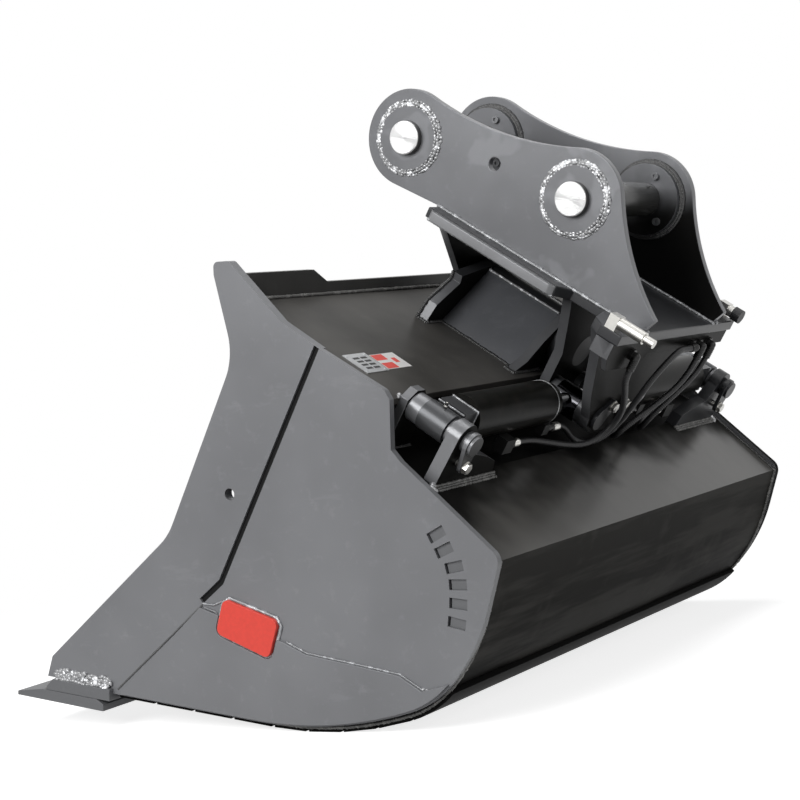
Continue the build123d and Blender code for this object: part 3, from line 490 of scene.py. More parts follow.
# How far the edges of the plates and turned pieces are rounded, in mm
ROUNDED = {
    2.4: "side_plate_near side_plate_far ear_near ear_far base_edge head_base_plate",
    2.0: "side_cutter_near side_cutter_far stop_bars front_clevis_plate rear_clevis_plate "
         "front_pivot_lug",
    1.6: "cutting_blade cylinder_front_ears cylinder_rear_ears pivot_gussets pivot_side_plates "
         "slope_plate top_plate",
    1.4: "badge_plates heel_wear_plates top_lip rear_box front_pin_bosses rear_pin_bosses "
         "wear_strips",
    1.2: "front_pin rear_pin cap_pins rod_pins tilt_pin_cap pivot_washers coupler_near coupler_far",
}
SHARP_TURN = radians(30)
SHARP_SHADE = radians(60)
FLAT_TURN = radians(0.5)
SAME_PLACE = 1e-6  # metres
BEVEL_STEPS = 2

# How squarely the faces that the tests below pick look along an axis
ACROSS = 0.5
TO_A_SIDE = 0.45
TO_THE_REAR = 0.7
ROUND_A_BOSS = 0.3
FAR_HALF_X = -300.0


def sideways(normal, _):
    """Faces that look out to either side."""
    return abs(normal.x) > TO_A_SIDE


def rearward(normal, _):
    """Faces that look back along the tilt axis."""
    return (HEAD.to_3x3().inverted() @ normal).y > TO_THE_REAR


def in_groove(normal, centre):
    """The floor of the joint between a side plate and its cutter, which is painted black as painted shade."""
    low, high = GROOVE_FLOOR
    return abs(normal.x) > ACROSS and low < HALF - abs(centre.x) / MM < high


def at_nose(place):
    """Corners along the upper front edge of the base edge, which is chamfered."""
    spot = LEVEL.inverted() @ place
    return abs(spot.y - BASE_EDGE_Y[0] * MM) < MM and abs(spot.z - BASE_EDGE_TOP * MM) < MM


def inward(normal, centre):
    """Faces of a pair that look at each other."""
    return abs(normal.x) > ACROSS and normal.x * centre.x < 0


def plate_rim(normal, _):
    """The narrow faces round a plate that stands upright."""
    return abs(normal.x) < ACROSS


def far_side(_, centre):
    """Pieces over the bucket's far half."""
    return centre.x < FAR_HALF_X * MM


def boss_rim(normal, centre):
    """The round sides of the thick bosses between the ears."""
    return abs(normal.x) < ROUND_A_BOSS and abs(centre.x) < EAR_GAP_HALF * MM


PIVOT_PLATES = "front_clevis_plate rear_clevis_plate front_pivot_lug pivot_gussets rear_box"
# Faces of the rounded pieces that take another paint than the rest
ACCENTS = (
    ("side_plate_near side_plate_far side_cutter_near side_cutter_far", in_groove, seam_paint),
    (PIVOT_PLATES, sideways, end_paint),
    (PIVOT_PLATES, rearward, turned_paint),
    ("cylinder_front_ears cylinder_rear_ears", rearward, turned_paint),
    ("cap_pins rod_pins", rearward, pin_end_paint),
    ("ear_near ear_far front_pin_bosses rear_pin_bosses", inward, inner_paint),
    ("front_pin_bosses rear_pin_bosses", boss_rim, panel_paint),
    ("side_plate_far", plate_rim, strip_paint),
    ("cylinder_front_ears cylinder_rear_ears cap_pins", far_side, pivot_paint),
)


def dress_frame():
    for names, material in FINISHES.items():
        for name in names.split():
            mesh = frame["nodes"][name].data
            mesh.materials.clear()
            mesh.materials.append(material)
    for width, names in ROUNDED.items():
        for name in names.split():
            rounded(name, width * MM)


def rounded(name, width):
    """A copy of a node with its sharp edges rounded, which is shown for it."""
    shape = bmesh.new()
    shape.from_mesh(frame["nodes"][name].data)
    for face in shape.faces:
        face.material_index = 0
    bmesh.ops.remove_doubles(shape, verts=shape.verts, dist=SAME_PLACE)
    bmesh.ops.dissolve_limit(shape, angle_limit=FLAT_TURN, verts=shape.verts, edges=shape.edges)
    if name == "base_edge":
        nose = [e for e in shape.edges if all(at_nose(v.co) for v in e.verts)]
        bmesh.ops.bevel(shape, geom=nose, offset=NOSE * MM, offset_type="OFFSET", segments=1,
                        affect="EDGES")
    sharp = [e for e in shape.edges if len(e.link_faces) == 2 and e.calc_face_angle(0) > SHARP_TURN]
    bmesh.ops.bevel(shape, geom=sharp, offset=width, offset_type="OFFSET", segments=BEVEL_STEPS,
                    profile=0.5, affect="EDGES", clamp_overlap=True)
    shape.normal_update()
    mesh = bpy.data.meshes.new(name + "_rounded")
    mesh.materials.append(frame["nodes"][name].data.materials[0])
    for names, belongs, material in ACCENTS:
        if name in names.split():
            mesh.materials.append(material)
            for face in shape.faces:
                if belongs(face.normal, face.calc_center_median()):
                    face.material_index = len(mesh.materials) - 1
    shape.to_mesh(mesh)
    shape.free()
    mesh.shade_smooth()
    mesh.set_sharp_from_angle(angle=SHARP_SHADE)
    source = shown(name + "_source", mesh)
    flatten = source.modifiers.new("flatten", "WEIGHTED_NORMAL")
    flatten.keep_sharp = True
    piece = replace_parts(baked(source, name + "_rounded"), name)
    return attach(piece, BODY_OF[name])


def shown(name, data):
    piece = bpy.data.objects.new(name, data)
    bpy.context.scene.collection.objects.link(piece)
    return piece


def mesh_of(name, points, faces, material):
    mesh = bpy.data.meshes.new(name)
    mesh.from_pydata(points, [], faces)
    mesh.materials.append(material)
    return mesh


def baked(source, name):
    """The source with its modifiers or curve settings worked in, as a plain mesh in its stead."""
    graph = bpy.context.evaluated_depsgraph_get()
    mesh = bpy.data.meshes.new_from_object(source.evaluated_get(graph))
    mesh.name = name
    bpy.data.objects.remove(source)
    return shown(name, mesh)


# Geometry trees and how their results become pieces

STEPS_A_TURN = 6.0


class Pattern(Graph):
    """A geometry tree with named inputs. make() runs it on a mesh and leaves a plain mesh."""

    def __init__(self, name, **inputs):
        tree = bpy.data.node_groups.new(name, "GeometryNodeTree")
        tree.interface.new_socket("Geometry", in_out="INPUT", socket_type="NodeSocketGeometry")
        self.sockets = {}
        for label, (kind, value) in inputs.items():
            made = tree.interface.new_socket(label, in_out="INPUT", socket_type="NodeSocket" + kind)
            if value is not None:
                made.default_value = value
            self.sockets[label] = made.identifier
        tree.interface.new_socket("Geometry", in_out="OUTPUT", socket_type="NodeSocketGeometry")
        super().__init__(tree)
        self.entry = tree.nodes.new("NodeGroupInput")

    def given(self, name="Geometry"):
        return Wire(self, self.entry.outputs[name])

    def end(self, geometry):
        whole = self.node("GeometryNodeRealizeInstances", {"Geometry": geometry})
        whole = self.node("GeometryNodeSetShadeSmooth", {"Geometry": whole, "Shade Smooth": True})
        values = {"Geometry": whole, "Material": self.given("Material")}
        self.node("NodeGroupOutput", {"Geometry": self.node("GeometryNodeSetMaterial", values)})
        return self

    def make(self, name, source, material, **inputs):
        modifier = source.modifiers.new(name, "NODES")
        modifier.node_group = self.tree
        modifier[self.sockets["Material"]] = material
        for label, value in inputs.items():
            modifier[self.sockets[label]] = value
        return baked(source, name)


def bead_pattern():
    """Weld beads: a flattened drop at each step of a path, larger and smaller by chance."""
    floats = {label: ("Float", None) for label in ("Step", "Stretch", "Least", "Wander")}
    g = Pattern("weld_bead", **floats, Seed=("Int", None), Material=("Material", None))
    path = g.node("GeometryNodeMeshToCurve", {"Mesh": g.given()})
    step = g.given("Step")
    path = g.node("GeometryNodeResampleCurve", {"Curve": path, "Length": step}, mode="LENGTH")
    span = {0: (-1.0,) * 3, 1: (1.0,) * 3, "Seed": g.given("Seed")}
    aside = g.node("FunctionNodeRandomValue", span, data_type="FLOAT_VECTOR")
    values = {0: aside, "Scale": g.given("Wander")}
    aside = g.node("ShaderNodeVectorMath", values, operation="SCALE")
    path = g.node("GeometryNodeSetPosition", {"Geometry": path, "Offset": aside})
    tangent = g.node("GeometryNodeInputTangent")
    facing = g.node("FunctionNodeAlignRotationToVector", {"Vector": tangent}, axis="Z")
    drop = g.node("GeometryNodeMeshUVSphere", {"Segments": 8, "Rings": 5, "Radius": 1.0})
    along = g.node("ShaderNodeCombineXYZ", {"X": 1.0, "Y": 1.0, "Z": g.given("Stretch")})
    drop = g.node("GeometryNodeTransform", {"Geometry": drop, "Scale": along})
    reach = g.node("GeometryNodeInputNamedAttribute", {"Name": "bead_r"}, data_type="FLOAT")
    span = {2: g.given("Least"), 3: 2.0 - g.given("Least"), "Seed": g.given("Seed")}
    chance = g.node("FunctionNodeRandomValue", span, out=1, data_type="FLOAT")
    size = reach * chance
    scale = g.node("ShaderNodeCombineXYZ", {"X": size, "Y": size, "Z": size})
    values = {"Points": path, "Instance": drop, "Rotation": facing, "Scale": scale}
    return g.end(g.node("GeometryNodeInstanceOnPoints", values))


def hose_pattern():
    """A hose: a round tube along a line, with a shallow groove at each turn of its spiral cover."""
    g = Pattern("hose", Radius=("Float", HOSE_R * MM), Pitch=("Float", 0.0046),
                Depth=("Float", 0.05), Material=("Material", None))
    path = g.node("GeometryNodeMeshToCurve", {"Mesh": g.given()})
    step = g.given("Pitch") / STEPS_A_TURN
    path = g.node("GeometryNodeResampleCurve", {"Curve": path, "Length": step}, mode="LENGTH")
    run = g.node("GeometryNodeSplineParameter", out="Length")
    groove = (run * (2 * pi) / g.given("Pitch")).sine()
    depth = g.given("Depth")
    reach = (groove * depth + 1.0 - depth) * g.given("Radius")
    ring = g.node("GeometryNodeCurvePrimitiveCircle", {"Resolution": 16, "Radius": 1.0})
    values = {"Curve": path, "Profile Curve": ring, "Scale": reach, "Fill Caps": True}
    return g.end(g.node("GeometryNodeCurveToMesh", values))


def paths_object(name, transform, paths):
    """A mesh of open or closed lines. Each path is (points in mm, bead radius in mm, closed)."""
    points, edges, reaches = [], [], []
    for run, reach, closed in paths:
        first = len(points)
        points += [placed(transform, *p) for p in run]
        reaches += [reach * MM] * len(run)
        edges += [(i, i + 1) for i in range(first, len(points) - 1)]
        if closed:
            edges.append((len(points) - 1, first))
    mesh = bpy.data.meshes.new(name)
    mesh.from_pydata(points, edges, [])
    mesh.attributes.new("bead_r", "FLOAT", "POINT").data.foreach_set("value", reaches)
    return shown(name + "_paths", mesh)


# Weld runs

RING_STEPS = 60
BADGE_CORNER = 14.0
BADGE_GROW = 0.065
BADGE_FACE = HALF + 0.5
FOOT_Y = (-1188.0, -1022.0)


def ring_run(x, centre, radius, reach):
    turns = [2 * pi * i / RING_STEPS for i in range(RING_STEPS)]
    points = [(x, centre[0] + radius * cos(t), centre[1] + radius * sin(t)) for t in turns]
    return (points, reach, True)


def run(reach, *points):
    """An open run of beads of one radius through some points."""
    return (list(points), reach, False)


def mirrored(paths):
    return paths + [([(-x, y, z) for x, y, z in points], reach, closed)
                    for points, reach, closed in paths]


def rear_curve(start, inset, x):
    """Points down the rear and along the belly, inset from the curve that begins at start."""
    angle = radians(REAR_HEADING)
    y = start[0] + cos(angle - pi / 2) * inset
    z = start[1] + sin(angle - pi / 2) * inset
    points = [(x, y, z)]
    y, z = y + cos(angle) * REAR_STRAIGHT, z + sin(angle) * REAR_STRAIGHT
    points.append((x, y, z))
    for radius, turn in REAR_ARCS:
        parts, radius = int(turn / 2), radius - inset
        centre = (y + cos(angle - pi / 2) * radius, z + sin(angle - pi / 2) * radius)
        for i in range(1, parts + 1):
            a = angle + pi / 2 - radians(turn) * i / parts
            points.append((x, centre[0] + cos(a) * radius, centre[1] + sin(a) * radius))
        angle -= radians(turn)
        y, z = points[-1][1:]
    return points


def badge_ring():
    """Round the badge plate, just outside its edge."""
    middle = [sum(places) / len(BADGE) for places in zip(*BADGE)]
    points = []
    for i, corner in enumerate(BADGE):
        for other in (BADGE[i - 1], BADGE[(i + 1) % len(BADGE)]):
            length = hypot(other[0] - corner[0], other[1] - corner[1])
            points.append([c + (o - c) * BADGE_CORNER / length for c, o in zip(corner, other)])
    grown = [[p + (p - m) * BADGE_GROW for p, m in zip(point, middle)] for point in points]
    return [(BADGE_FACE, y, z) for y, z in grown]


def bucket_level_runs():
    """Both edges of the shell, the rear of the top lip, and the blade under the base edge."""
    start = (-EDGE_STAND, -EDGE_STAND)
    near = [
        run(5.0, *rear_curve(start, -1.0, INNER_HALF - 2)),
        run(5.0, *rear_curve(start, SHELL_T + 1.0, INNER_HALF - 3)),
    ]
    lip_y, blade_x = LIP_REAR_Y + 2, BLADE_HALF - 6
    blade_yz = (BASE_EDGE_Y[0] - 1, BASE_EDGE_TOP - BASE_EDGE_T + 1)
    whole = [
        run(5.0, (-CUTTER_HALF, lip_y, LIP_TOP_Z), (CUTTER_HALF, lip_y, LIP_TOP_Z)),
        run(6.0, (-blade_x, *blade_yz), (blade_x, *blade_yz)),
    ]
    return mirrored(near) + whole


def side_runs():
    """Beads round the badge plate and over the heel plate, and the ends of the cutter's joint."""
    x = HALF + 1
    return mirrored([
        run(3.0, *[(x, y, z + 1.5) for y, z in HEEL_TOP]),
        (badge_ring(), 5.0, True),
        run(2.6, (x, -748, -181), (x, -716, -181), (x, -694, -170)),
        run(2.6, (x, -741, -190), (x, -712, -196), (x, -702, -206)),
    ])


def seam_runs():
    """The dark lower end of the joint, from the badge plate down to the base edge."""
    return mirrored([run(3.2, (HALF - 1.4, -750, -186), (HALF - 1.6, -1000, BASE_EDGE_TOP))])


def foot_runs():
    """The broad bead under each cutter's foot, and the blob at the heel plate's end."""
    (y0, y1), z, x = FOOT_Y, BASE_EDGE_TOP, HALF + 1
    rows = ((7, 0, 8), (4, 5, 3), (2, 10, 0), (1, 15, 3), (0, 20, 10))
    near = [run(5.2, (HALF + out, y0 + lean, z + up), (HALF + out, y1 - lean, z + up))
            for out, up, lean in rows]
    near += [run(4.6, (x, -168, -291), (x, -176, -297), (x, -188, -299)),
             run(4.6, (x, -176, -290), (x, -186, -296))]
    return mirrored(near)


def bucket_head_runs():
    """Along the top plate, down the recess, and at the feet of the front ears and the pivot."""
    y0, y1 = TOP_PLATE_Y
    ear_x0, ear_x1 = FRONT_EAR_FOOT
    cutter, inner = CUTTER_HALF - 1, INNER_HALF - 1
    top, low, ear_y = TOP_PLATE_Z, RECESS_Z, FRONT_EAR_Y[1]
    return mirrored([
        run(5.0, (cutter, y0 + 15, top), (cutter, 225, top)),
        run(5.0, (inner, 235, top), (inner, y1, top)),
        run(5.0, (inner, y1, low), (inner, RECESS_REAR, low), (inner, *SLOPE_END)),
        run(5.0, (ear_x0, ear_y, low), (ear_x1, ear_y, low)),
        run(5.0, (160, 112, top), (160, 327, top)),
        run(5.5, (68, 85, top), (227, 85, top), (227, 113, top), (165, 113, top)),
        run(5.5, (165, 326, top), (185, 326, top), (185, 351, top), (68, 351, top)),
        run(4.5, (228, 85, top + 2), (212, 85, -29), (150, 85, 25), (155, 85, 43)),
    ])


def pivot_top_runs():
    """Along the pivot tube's upper side."""
    return mirrored([run(3.5, (42, 114, 60), (42, 325, 60)), run(3.5, (34, 112, 61), (34, 88, 61))])


def rear_ear_runs():
    """The rough passes side by side along the foot of each rear cylinder ear."""
    (x0, x1), y = REAR_EAR_FOOT, REAR_EAR_Y
    return mirrored([
        run(4.5, (x0, y + 1, slope_z(y) + 3), (x1, y + 1, slope_z(y) + 3)),
        run(5.0, (x0 + 2, y + 5, slope_z(y + 5)), (x1 - 4, y + 5, slope_z(y + 5))),
        run(4.0, (x0 + 4, y + 11, slope_z(y + 11)), (x1 - 8, y + 11, slope_z(y + 11))),
    ])


def spatter_and_glint_runs():
    """Bright blobs at the cylinders' ears: weld spatter at each rear ear's end, and at the front ears small bright
    beads that are painted glints.
    """
    rear, front, pin = REAR_EAR_FOOT[1], FRONT_EAR_FOOT[1], CAP_PIN[0]
    y, z, top = REAR_EAR_Y, slope_z(REAR_EAR_Y), TOP_PLATE_Z
    return mirrored([
        run(7.0, (rear + 1, y - 4, z + 3), (rear + 10, y + 2, z + 1), (rear + 3, y + 7, z)),
        run(5.0, (front + 1, 371, top), (front - 8, 366, top)),
        run(3.4, (pin + 16, 372, top + 2), (pin - 34, 372, top + 2)),
    ])


def neck_runs(side):
    """Round the square neck between a barrel and its eye."""
    (y0, y1), (z0, z1) = EYE_Y, (CAP_PIN[1] - EYE_R, CAP_PIN[1] + EYE_R)
    x, eye_x = side * (NECK_X + 1), side * (CAP_PIN[0] - EYE_R + 6)
    return [run(3.0, (x, y1, z0), (x, y1, z1), (x, y0, z1), (x, y0, z0)),
            run(2.4, (eye_x, y0 + 1, z1 - 3), (eye_x, y1 - 1, z1 - 3))]


def slope_z(y):
    """Height of the slope plate's upper face in the head frame."""
    return RECESS_Z + (y - RECESS_REAR) * (SLOPE_END[1] - RECESS_Z) / (SLOPE_END[0] - RECESS_REAR)


def pin_rings(face, radius, rows):
    """Rows of beads round both hitch pins, as (beyond face, beyond radius, bead radius)."""
    return mirrored([ring_run(face + lift, pin, radius + grow, reach)
                     for pin in (FRONT_PIN, REAR_PIN) for lift, grow, reach in rows])


def head_runs():
    """Along the foot of each ear, outside and inside, and under the base plate."""
    outer, inner, top, low = EAR_OUT + 1, EAR_GAP_HALF - 1, BASE_TOP + 1, BASE_Z - 1
    return mirrored([
        run(5.0, (outer, 2, top), (outer, 596, top)),
        run(5.0, (inner, 8, top), (inner, 596, top)),
        run(4.0, (245, 16, low), (245, 378, low)),
    ])


# Weld kinds: metres from drop to drop, stretch along the run, and the smallest drop's share
ROUGH = (0.0080, 1.35, 0.72)
FINE = (0.0040, 0.62, 0.84)
SMOOTH = (0.0022, 0.70, 0.93)
BEAD_ROWS = ((5.0, 0.0, 3.8), (2.0, 5.5, 5.6), (0.0, 11.5, 3.8))
INNER_BEAD_ROWS = ((-5.0, 1.0, 6.0), (-1.0, 6.0, 6.0))


def make_welds():
    bead = bead_pattern()
    inner_rings = pin_rings(EAR_GAP_HALF, INNER_BOSS_R, INNER_BEAD_ROWS)
    outer_rings = pin_rings(EAR_OUT, BOSS_R, BEAD_ROWS)
    jobs = (
        ("plate_welds", LEVEL, bucket_level_runs(), shell_weld, "bucket", 0.0005, FINE),
        ("side_welds", LEVEL, side_runs(), side_weld, "bucket", 0.0003, SMOOTH),
        ("joint_seams", LEVEL, seam_runs(), dark_weld, "bucket", 0.0001, SMOOTH),
        ("cutter_foot_welds", LEVEL, foot_runs(), bright_weld, "bucket", 0.0022, ROUGH),
        ("pivot_welds", HEAD, bucket_head_runs(), dark_weld, "bucket", 0.0005, FINE),
        ("pivot_top_welds", HEAD, pivot_top_runs(), bright_weld, "bucket", 0.0003, SMOOTH),
        ("rear_ear_welds", HEAD, rear_ear_runs(), shell_weld, "bucket", 0.0005, FINE),
        ("ear_spot_welds", HEAD, spatter_and_glint_runs(), bright_weld, "bucket", 0.0016, ROUGH),
        ("head_welds", HEAD, head_runs(), side_weld, "tilt_head", 0.0003, SMOOTH),
        ("inner_boss_welds", HEAD, inner_rings, dark_weld, "tilt_head", 0.0002, SMOOTH),
        ("pin_ring_welds", HEAD, outer_rings, bright_weld, "tilt_head", 0.0012, ROUGH),
        ("near_neck_welds", HEAD, neck_runs(1), side_weld, "barrel_near_body", 0.0003, SMOOTH),
        ("far_neck_welds", HEAD, neck_runs(-1), side_weld, "barrel_far_body", 0.0003, SMOOTH),
    )
    for seed, (name, transform, paths, material, body, wander, kind) in enumerate(jobs):
        source = paths_object(name, transform, paths)
        drops = dict(zip(("Step", "Stretch", "Least"), kind))
        welds = bead.make(name, source, material, Seed=seed, Wander=wander, **drops)
        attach(welds, body)


# Hoses

# Chosen places along each hose in the head frame, from its elbow to its port
HOSE_ROUTES = {
    "hose_near": ((200, 606, 88), (200, 606, 60), (156, 604, 20), (100, 596, -30),
                  (66, 582, -82), (72, 568, -128), (118, 556, -152), (180, 538, -154),
                  (244, 518, -150), (304, 504, -145), (352, 504, -145)),
    "hose_cross": ((-95, 606, 118), (-52, 606, 118), (-4, 614, 122), (42, 618, 98),
                   (58, 610, 50), (46, 598, -2), (24, 582, -56), (4, 564, -108), (16, 551, -148),
                   (56, 540, -166), (104, 520, -160), (146, 500, -127), (175, 500, -127)),
    "hose_far": ((-215, 606, 88), (-215, 606, 56), (-196, 602, 14), (-168, 592, -34),
                 (-152, 578, -84), (-164, 562, -128), (-202, 544, -152), (-252, 522, -151),
                 (-304, 504, -145), (-352, 504, -145)),
    "hose_inner": ((-160, 606, 88), (-160, 606, 54), (-144, 602, 8), (-108, 592, -38),
                   (-70, 578, -82), (-46, 562, -128), (-64, 544, -162), (-106, 522, -160),
                   (-146, 500, -127), (-175, 500, -127)),
}
# Heights in the head frame below and above which a hose was to stay with the bucket and move with the head;
# nothing binds the hoses to them
HOSE_STILL_Z = -150.0
HOSE_FREE_Z = 100.0
PORT_LEG = 125.0  # length of the hose's last stretch, at its port


def smooth_line(name, points):
    """The smooth run of a hose through its chosen points, as places along it."""
    curve = bpy.data.curves.new(name, "CURVE")
    curve.dimensions = "3D"
    curve.resolution_u = 12
    spline = curve.splines.new("NURBS")
    spline.points.add(len(points) - 1)
    for spot, point in zip(spline.points, points):
        spot.co = (*placed(HEAD, *point), 1.0)
    spline.order_u = 3
    spline.use_endpoint_u = True
    line = baked(shown(name + "_line", curve), name + "_path")
    places = [v.co.copy() for v in line.data.vertices]
    bpy.data.objects.remove(line)
    return places


def hose_piece(pattern, name, places, node):
    """A length of hose along some places, shown for its node."""
    line = bpy.data.meshes.new(name + "_line")
    line.from_pydata(places, [(i, i + 1) for i in range(len(places) - 1)], [])
    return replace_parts(pattern.make(name, shown(name + "_line", line), rubber), node)


def make_hoses():
    """Each hose in two pieces shown for its node: the cover, and the last stretch at the barrel that it is screwed
    to.
    """
    pattern = hose_pattern()
    still, free = placed(HEAD, 0, 0, HOSE_STILL_Z), placed(HEAD, 0, 0, HOSE_FREE_Z)
    for node, route in HOSE_ROUTES.items():
        places = smooth_line(node, route)
        split, left = len(places) - 1, PORT_LEG * MM
        while left > 0:
            left -= (places[split] - places[split - 1]).length
            split -= 1
        cover = hose_piece(pattern, node + "_cover", places[:split + 1], node)
        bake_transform(cover)
        end = hose_piece(pattern, node + "_port_end", places[split:], node)
        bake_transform(end)


# Round pieces turned about an axis

COLLAR_SIDES = 48
CRIMPS = 5
BOLT_HEAD = 10.0
BARREL_RIM = ((-2, -3), (-2, -1), (0, 0.6), (3, 0.6), (3, -3))


def turned(name, profile, at, axis, material, sides=24):
    """A closed solid of revolution. The profile is (along, radius) pairs in mm from end to end."""
    direction = Vector(axis).normalized()
    side = direction.orthogonal().normalized()
    other = direction.cross(side)
    points, faces = [], []
    for along, radius in profile:
        for i in range(sides):
            t = 2 * pi * i / sides
            spot = direction * along + (side * cos(t) + other * sin(t)) * radius
            points.append(at + spot * MM)
    for ring in range(len(profile) - 1):
        for i in range(sides):
            a, b = ring * sides + i, ring * sides + (i + 1) % sides
            faces.append((a, b, b + sides, a + sides))
    faces.append(tuple(reversed(range(sides))))
    faces.append(tuple(range(len(points) - sides, len(points))))
    return mesh_of(name, points, faces, material)


def joined(name, meshes, body):
    """One piece of several meshes with the same material."""
    points, faces = [], []
    for mesh in meshes:
        first = len(points)
        points += [v.co.copy() for v in mesh.vertices]
        faces += [tuple(first + i for i in p.vertices) for p in mesh.polygons]
    whole = mesh_of(name, points, faces, meshes[0].materials[0])
    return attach(shown(name, whole), body)


def head_direction(x, y, z):
    return HEAD.to_3x3() @ Vector((x, y, z))


def grease_nipple(at, axis):
    profile = ((0, 4.5), (3, 4.5), (3.2, 2.6), (6, 2.6), (7, 3.4), (9, 2.4), (9.6, 0.8))
    return turned("nipple", profile, at, axis, zinc, 12)


def collar(name, profile, at, axis, material):
    """A ring turned about an axis: the profile is a closed line of (along, radius) pairs in mm."""
    mesh = turned(name, [*profile, profile[0]], at, axis, material, COLLAR_SIDES)
    count = len(profile) * COLLAR_SIDES
    points = [v.co.copy() for v in mesh.vertices][:count]
    faces = [tuple(i % count for i in p.vertices) for p in list(mesh.polygons)[:-2]]
    return mesh_of(name, points, faces, material)


def bolt_crown(x, seat, z):
    """Rounded crown and raised washer face of a bolt's head."""
    profile = ((-10.4, 13.6), (-9.6, 14.2), (-8.4, 14.2), (-8.2, 11.0), (0, 11.0), (0.8, 10.2),
               (1.0, 3.0))
    at = placed(HEAD, x, seat + BOLT_HEAD, z)
    return turned("crown", profile, at, head_direction(0, 1, 0), zinc)


def make_crowns():
    keepers = (("bucket", KEEPER, KEEPER_SEAT_Y), ("tilt_head", ROD_KEEPER, ROD_KEEPER_SEAT_Y))
    for body, (x, z), seat in keepers:
        crowns = [bolt_crown(side * x, seat, z) for side in (1, -1)]
        joined(f"{body}_keeper_crowns", crowns, body)


def ferrule(start, end, material):
    """A crimped hose ferrule from start to end, in the head frame."""
    a, b = Vector(start), Vector(end)
    length = (b - a).length
    profile = [(0, 7.6), (0.5, 9.6)]
    for i in range(CRIMPS):
        at = 2 + i * (length - 5) / CRIMPS
        profile += [(at, 10.0), (at + (length - 5) / (2 * CRIMPS), 9.0)]
    profile += [(length - 1, 10.0), (length, 8.0)]
    return turned("ferrule", profile, placed(HEAD, *a), head_direction(*(b - a)), material, 20)


def make_fittings():
    for side, name in ((1, "near"), (-1, "far")):
        body = f"barrel_{name}_body"
        ends = [ferrule((side * outer, *at), (side * inner, *at), zinc)
                for outer, inner, at in PORTS]
        joined(f"port_ferrules_{name}", ends, body)
        top = placed(HEAD, side * CAP_PIN[0], CYL_Y, CAP_PIN[1] + EYE_R + 3)
        joined(f"eye_nipple_{name}", [grease_nipple(top, head_direction(0, 0, 1))], body)
        # A thin bright steel ring at each barrel's end, partly a rim and partly a painted highlight on the
        # barrel's edge.
        end = placed(HEAD, side * BARREL_FACE_X, CYL_Y, CAP_PIN[1])
        rim = [(along, BARREL_R + beyond) for along, beyond in BARREL_RIM]
        rim = collar("rim", rim, end, head_direction(side, 0, 0), label_metal)
        joined(f"barrel_highlight_rim_{name}", [rim], body)
    high, low = ELBOW_DROP_Z
    elbows = [ferrule((x, ELBOW_Y, high), (x, ELBOW_Y, low), fitting_paint) for x in ELBOW_DROPS_X]
    start, end = CROSS_ELBOW_X
    cross = ferrule((start, ELBOW_Y, CROSS_ELBOW_Z), (end, ELBOW_Y, CROSS_ELBOW_Z), fitting_paint)
    joined("elbow_ferrules", [*elbows, cross], "tilt_head")


# Labels

FIELD_T = 0.2
FIELD = (22.0, 7.0)
FIELD_STEP = (28.0, 13.0)
FIELD_MARGIN = 14.0
DECAL_SPLIT = 0.52
BOX_FACES = ((3, 2, 1, 0), (4, 5, 6, 7), (0, 1, 5, 4), (1, 2, 6, 5), (2, 3, 7, 6), (3, 0, 4, 7))


def pads(name, areas, low, material):
    """Thin rectangles on the top plate, from corner pairs in the head frame."""
    points, faces = [], []
    for (x0, x1), (y0, y1) in areas:
        first = len(points)
        for z in (low, low + FIELD_T):
            points += [placed(HEAD, x, y, z) for x, y in ((x0, y0), (x1, y0), (x1, y1), (x0, y1))]
        faces += [tuple(first + i for i in face) for face in BOX_FACES]
    mesh = mesh_of(name, points, faces, material)
    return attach(shown(name, mesh), "bucket")


def make_labels():
    x0, y0 = (start + FIELD_MARGIN for start, _ in DATA_PLATE)
    corners = [(x0 + column * FIELD_STEP[0], y0 + row * FIELD_STEP[1])
               for column in range(2) for row in range(4)]
    fields = [((x, x + FIELD[0]), (y, y + FIELD[1])) for x, y in corners]
    pads("data_plate_fields", fields, TOP_PLATE_Z + LABEL_T, label_ink)
    (x0, x1), (y0, y1) = DECAL
    right = (x0 + DECAL_SPLIT * (x1 - x0), x1 - 2)
    fields = ((right, (y0 + 2, y0 + 24)), (right, (y1 - 24, y1 - 2)),
              ((x0 + 18, x0 + 34), (y0 + 20, y0 + 38)))
    pads("decal_red_fields", fields, TOP_PLATE_Z + DECAL_T, decal_red)


def make_slot_tabs():
    """The ends of the inner ribs, which nearly fill the side plates' slots."""
    shape = bmesh.new()
    for side in (1, -1):
        x = side * (HALF - TAB_SUNK - TAB[0] / 2)
        for (y, z), turn in SLOTS:
            lean = radians(turn)
            middle = Vector((x, y + TAB_SHIFT * cos(lean), z + TAB_SHIFT * sin(lean)))
            place = Matrix.Translation(middle * MM) @ Matrix.Rotation(lean, 4, "X")
            size = Matrix.Diagonal((*(Vector(TAB) * MM), 1.0))
            bmesh.ops.create_cube(shape, size=1.0, matrix=LEVEL @ place @ size)
    mesh = bpy.data.meshes.new("slot_tabs")
    shape.to_mesh(mesh)
    shape.free()
    mesh.materials.append(edge_paint)
    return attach(shown("slot_tabs", mesh), "bucket")


# Studio

CAMERA_AT = (3796.0, 1734.3, 695.5)
CAMERA_HEADING = radians(122.85)
CAMERA_DOWN = radians(6.24)
LENS = 81.4455
SENSOR = 36.0
FAR_CLIP = 100.0
AMBIENT = 0.09
FLOOR_REACH = 30.0
FLOOR_FADE = (1.9, 0.8)
FLOOR_GLOW = 0.80
WHITE = (1.0, 1.0, 1.0)
# Name, place and aim in metres, size in metres, power in watts
LAMPS = (
    ("key", (4.6, -0.3, 3.0), (0.2, 0.1, 0.6), (3.0, 2.4), 176),
    ("top", (-0.4, 0.2, 4.6), (0.0, 0.1, 0.5), (2.6, 2.6), 60),
    ("rear", (1.0, 4.6, 2.4), (0.0, 0.2, 0.6), (2.0, 2.0), 26),
)


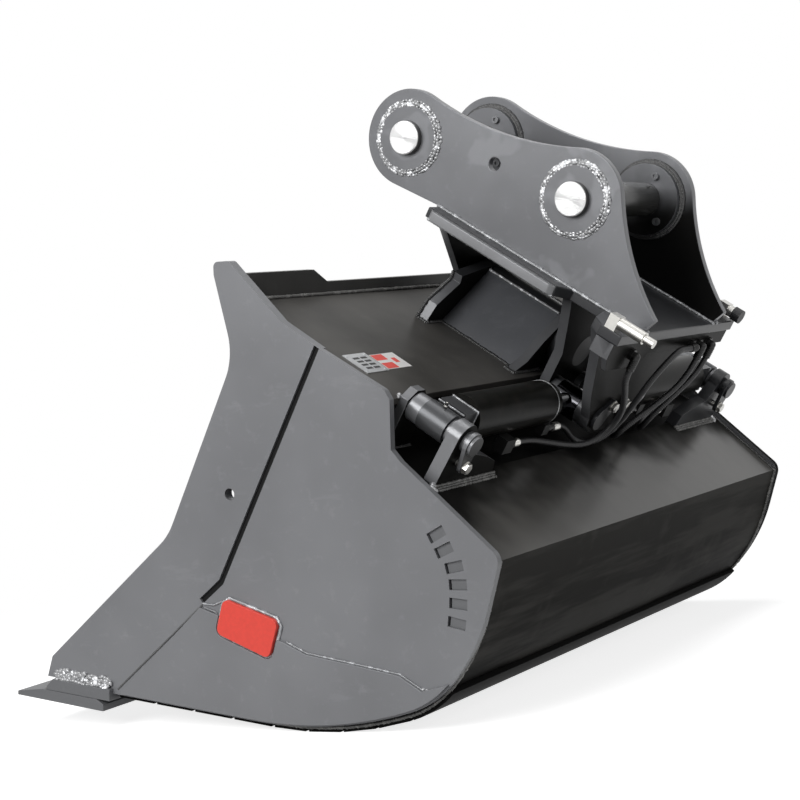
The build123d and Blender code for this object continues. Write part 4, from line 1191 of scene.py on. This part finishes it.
def make_camera():
    data = bpy.data.cameras.new("camera")
    data.sensor_width = SENSOR
    data.lens = LENS
    data.clip_end = FAR_CLIP
    camera = shown("camera", data)
    turn = Matrix.Rotation(CAMERA_HEADING, 4, "Z") @ Matrix.Rotation(pi / 2 - CAMERA_DOWN, 4, "X")
    place = Matrix.Translation(Vector(CAMERA_AT) * MM)
    camera.matrix_world = LEVEL @ place @ turn
    bpy.context.scene.camera = camera


def softbox(name, at, aim, size, power):
    data = bpy.data.lights.new(name, "AREA")
    data.shape = "RECTANGLE"
    data.size, data.size_y = size
    data.energy = power
    lamp = shown(name, data)
    lamp.location = at
    lamp.rotation_mode = "QUATERNION"
    lamp.rotation_quaternion = (Vector(aim) - Vector(at)).to_track_quat("-Z", "Y")


def seen(g):
    """1 for what the camera, a reflection or a clear piece shows, 0 for light on other things."""
    rays = g.node("ShaderNodeLightPath", out="Is Camera Ray")
    total = rays + rays.part("Is Glossy Ray") + rays.part("Is Transmission Ray")
    return total.math("MINIMUM", total, 1.0)


def make_studio():
    world = bpy.data.worlds.new("studio")
    world.use_nodes = True
    bpy.context.scene.world = world
    g = Graph(world.node_tree)
    g.tree.nodes.clear()
    dim = g.node("ShaderNodeBackground", {"Color": (0.95, 0.97, 1.0), "Strength": AMBIENT})
    bright = g.node("ShaderNodeBackground", {"Color": WHITE, "Strength": 1.0})
    both = g.node("ShaderNodeMixShader", {0: seen(g), 1: dim, 2: bright})
    g.node("ShaderNodeOutputWorld", {"Surface": both})

    far = FLOOR_REACH
    corners = [(-far, -far, 0), (far, -far, 0), (far, far, 0), (-far, far, 0)]
    floor = shown("floor", mesh_of("floor", corners, [(0, 1, 2, 3)], floor_finish()))
    for lamp in LAMPS:
        softbox(*lamp)


def floor_finish():
    """White where it is seen, shadowed round the bucket; plain grey for the light it sends up."""
    f = Finish("pale_floor")
    x, y = f.axis("X"), f.axis("Y")
    away = (x * x + y * y).root().above(*FLOOR_FADE)
    lit = f.node("ShaderNodeBsdfDiffuse", {"Color": (0.80, 0.80, 0.80)})
    glow = f.node("ShaderNodeEmission", {"Color": WHITE, "Strength": FLOOR_GLOW})
    near = f.node("ShaderNodeAddShader", {0: lit, 1: glow})
    white = f.node("ShaderNodeEmission", {"Color": WHITE, "Strength": 1.0})
    bright = f.node("ShaderNodeMixShader", {0: away, 1: near, 2: white})
    dim = f.node("ShaderNodeBsdfDiffuse", {"Color": (0.30, 0.30, 0.30)})
    return f.end(f.node("ShaderNodeMixShader", {0: seen(f), 1: dim, 2: bright}))


dress_frame()
make_welds()
make_hoses()
make_fittings()
make_crowns()
make_labels()
make_slot_tabs()
make_camera()
make_studio()

bpy.context.scene.view_settings.view_transform = "Standard"
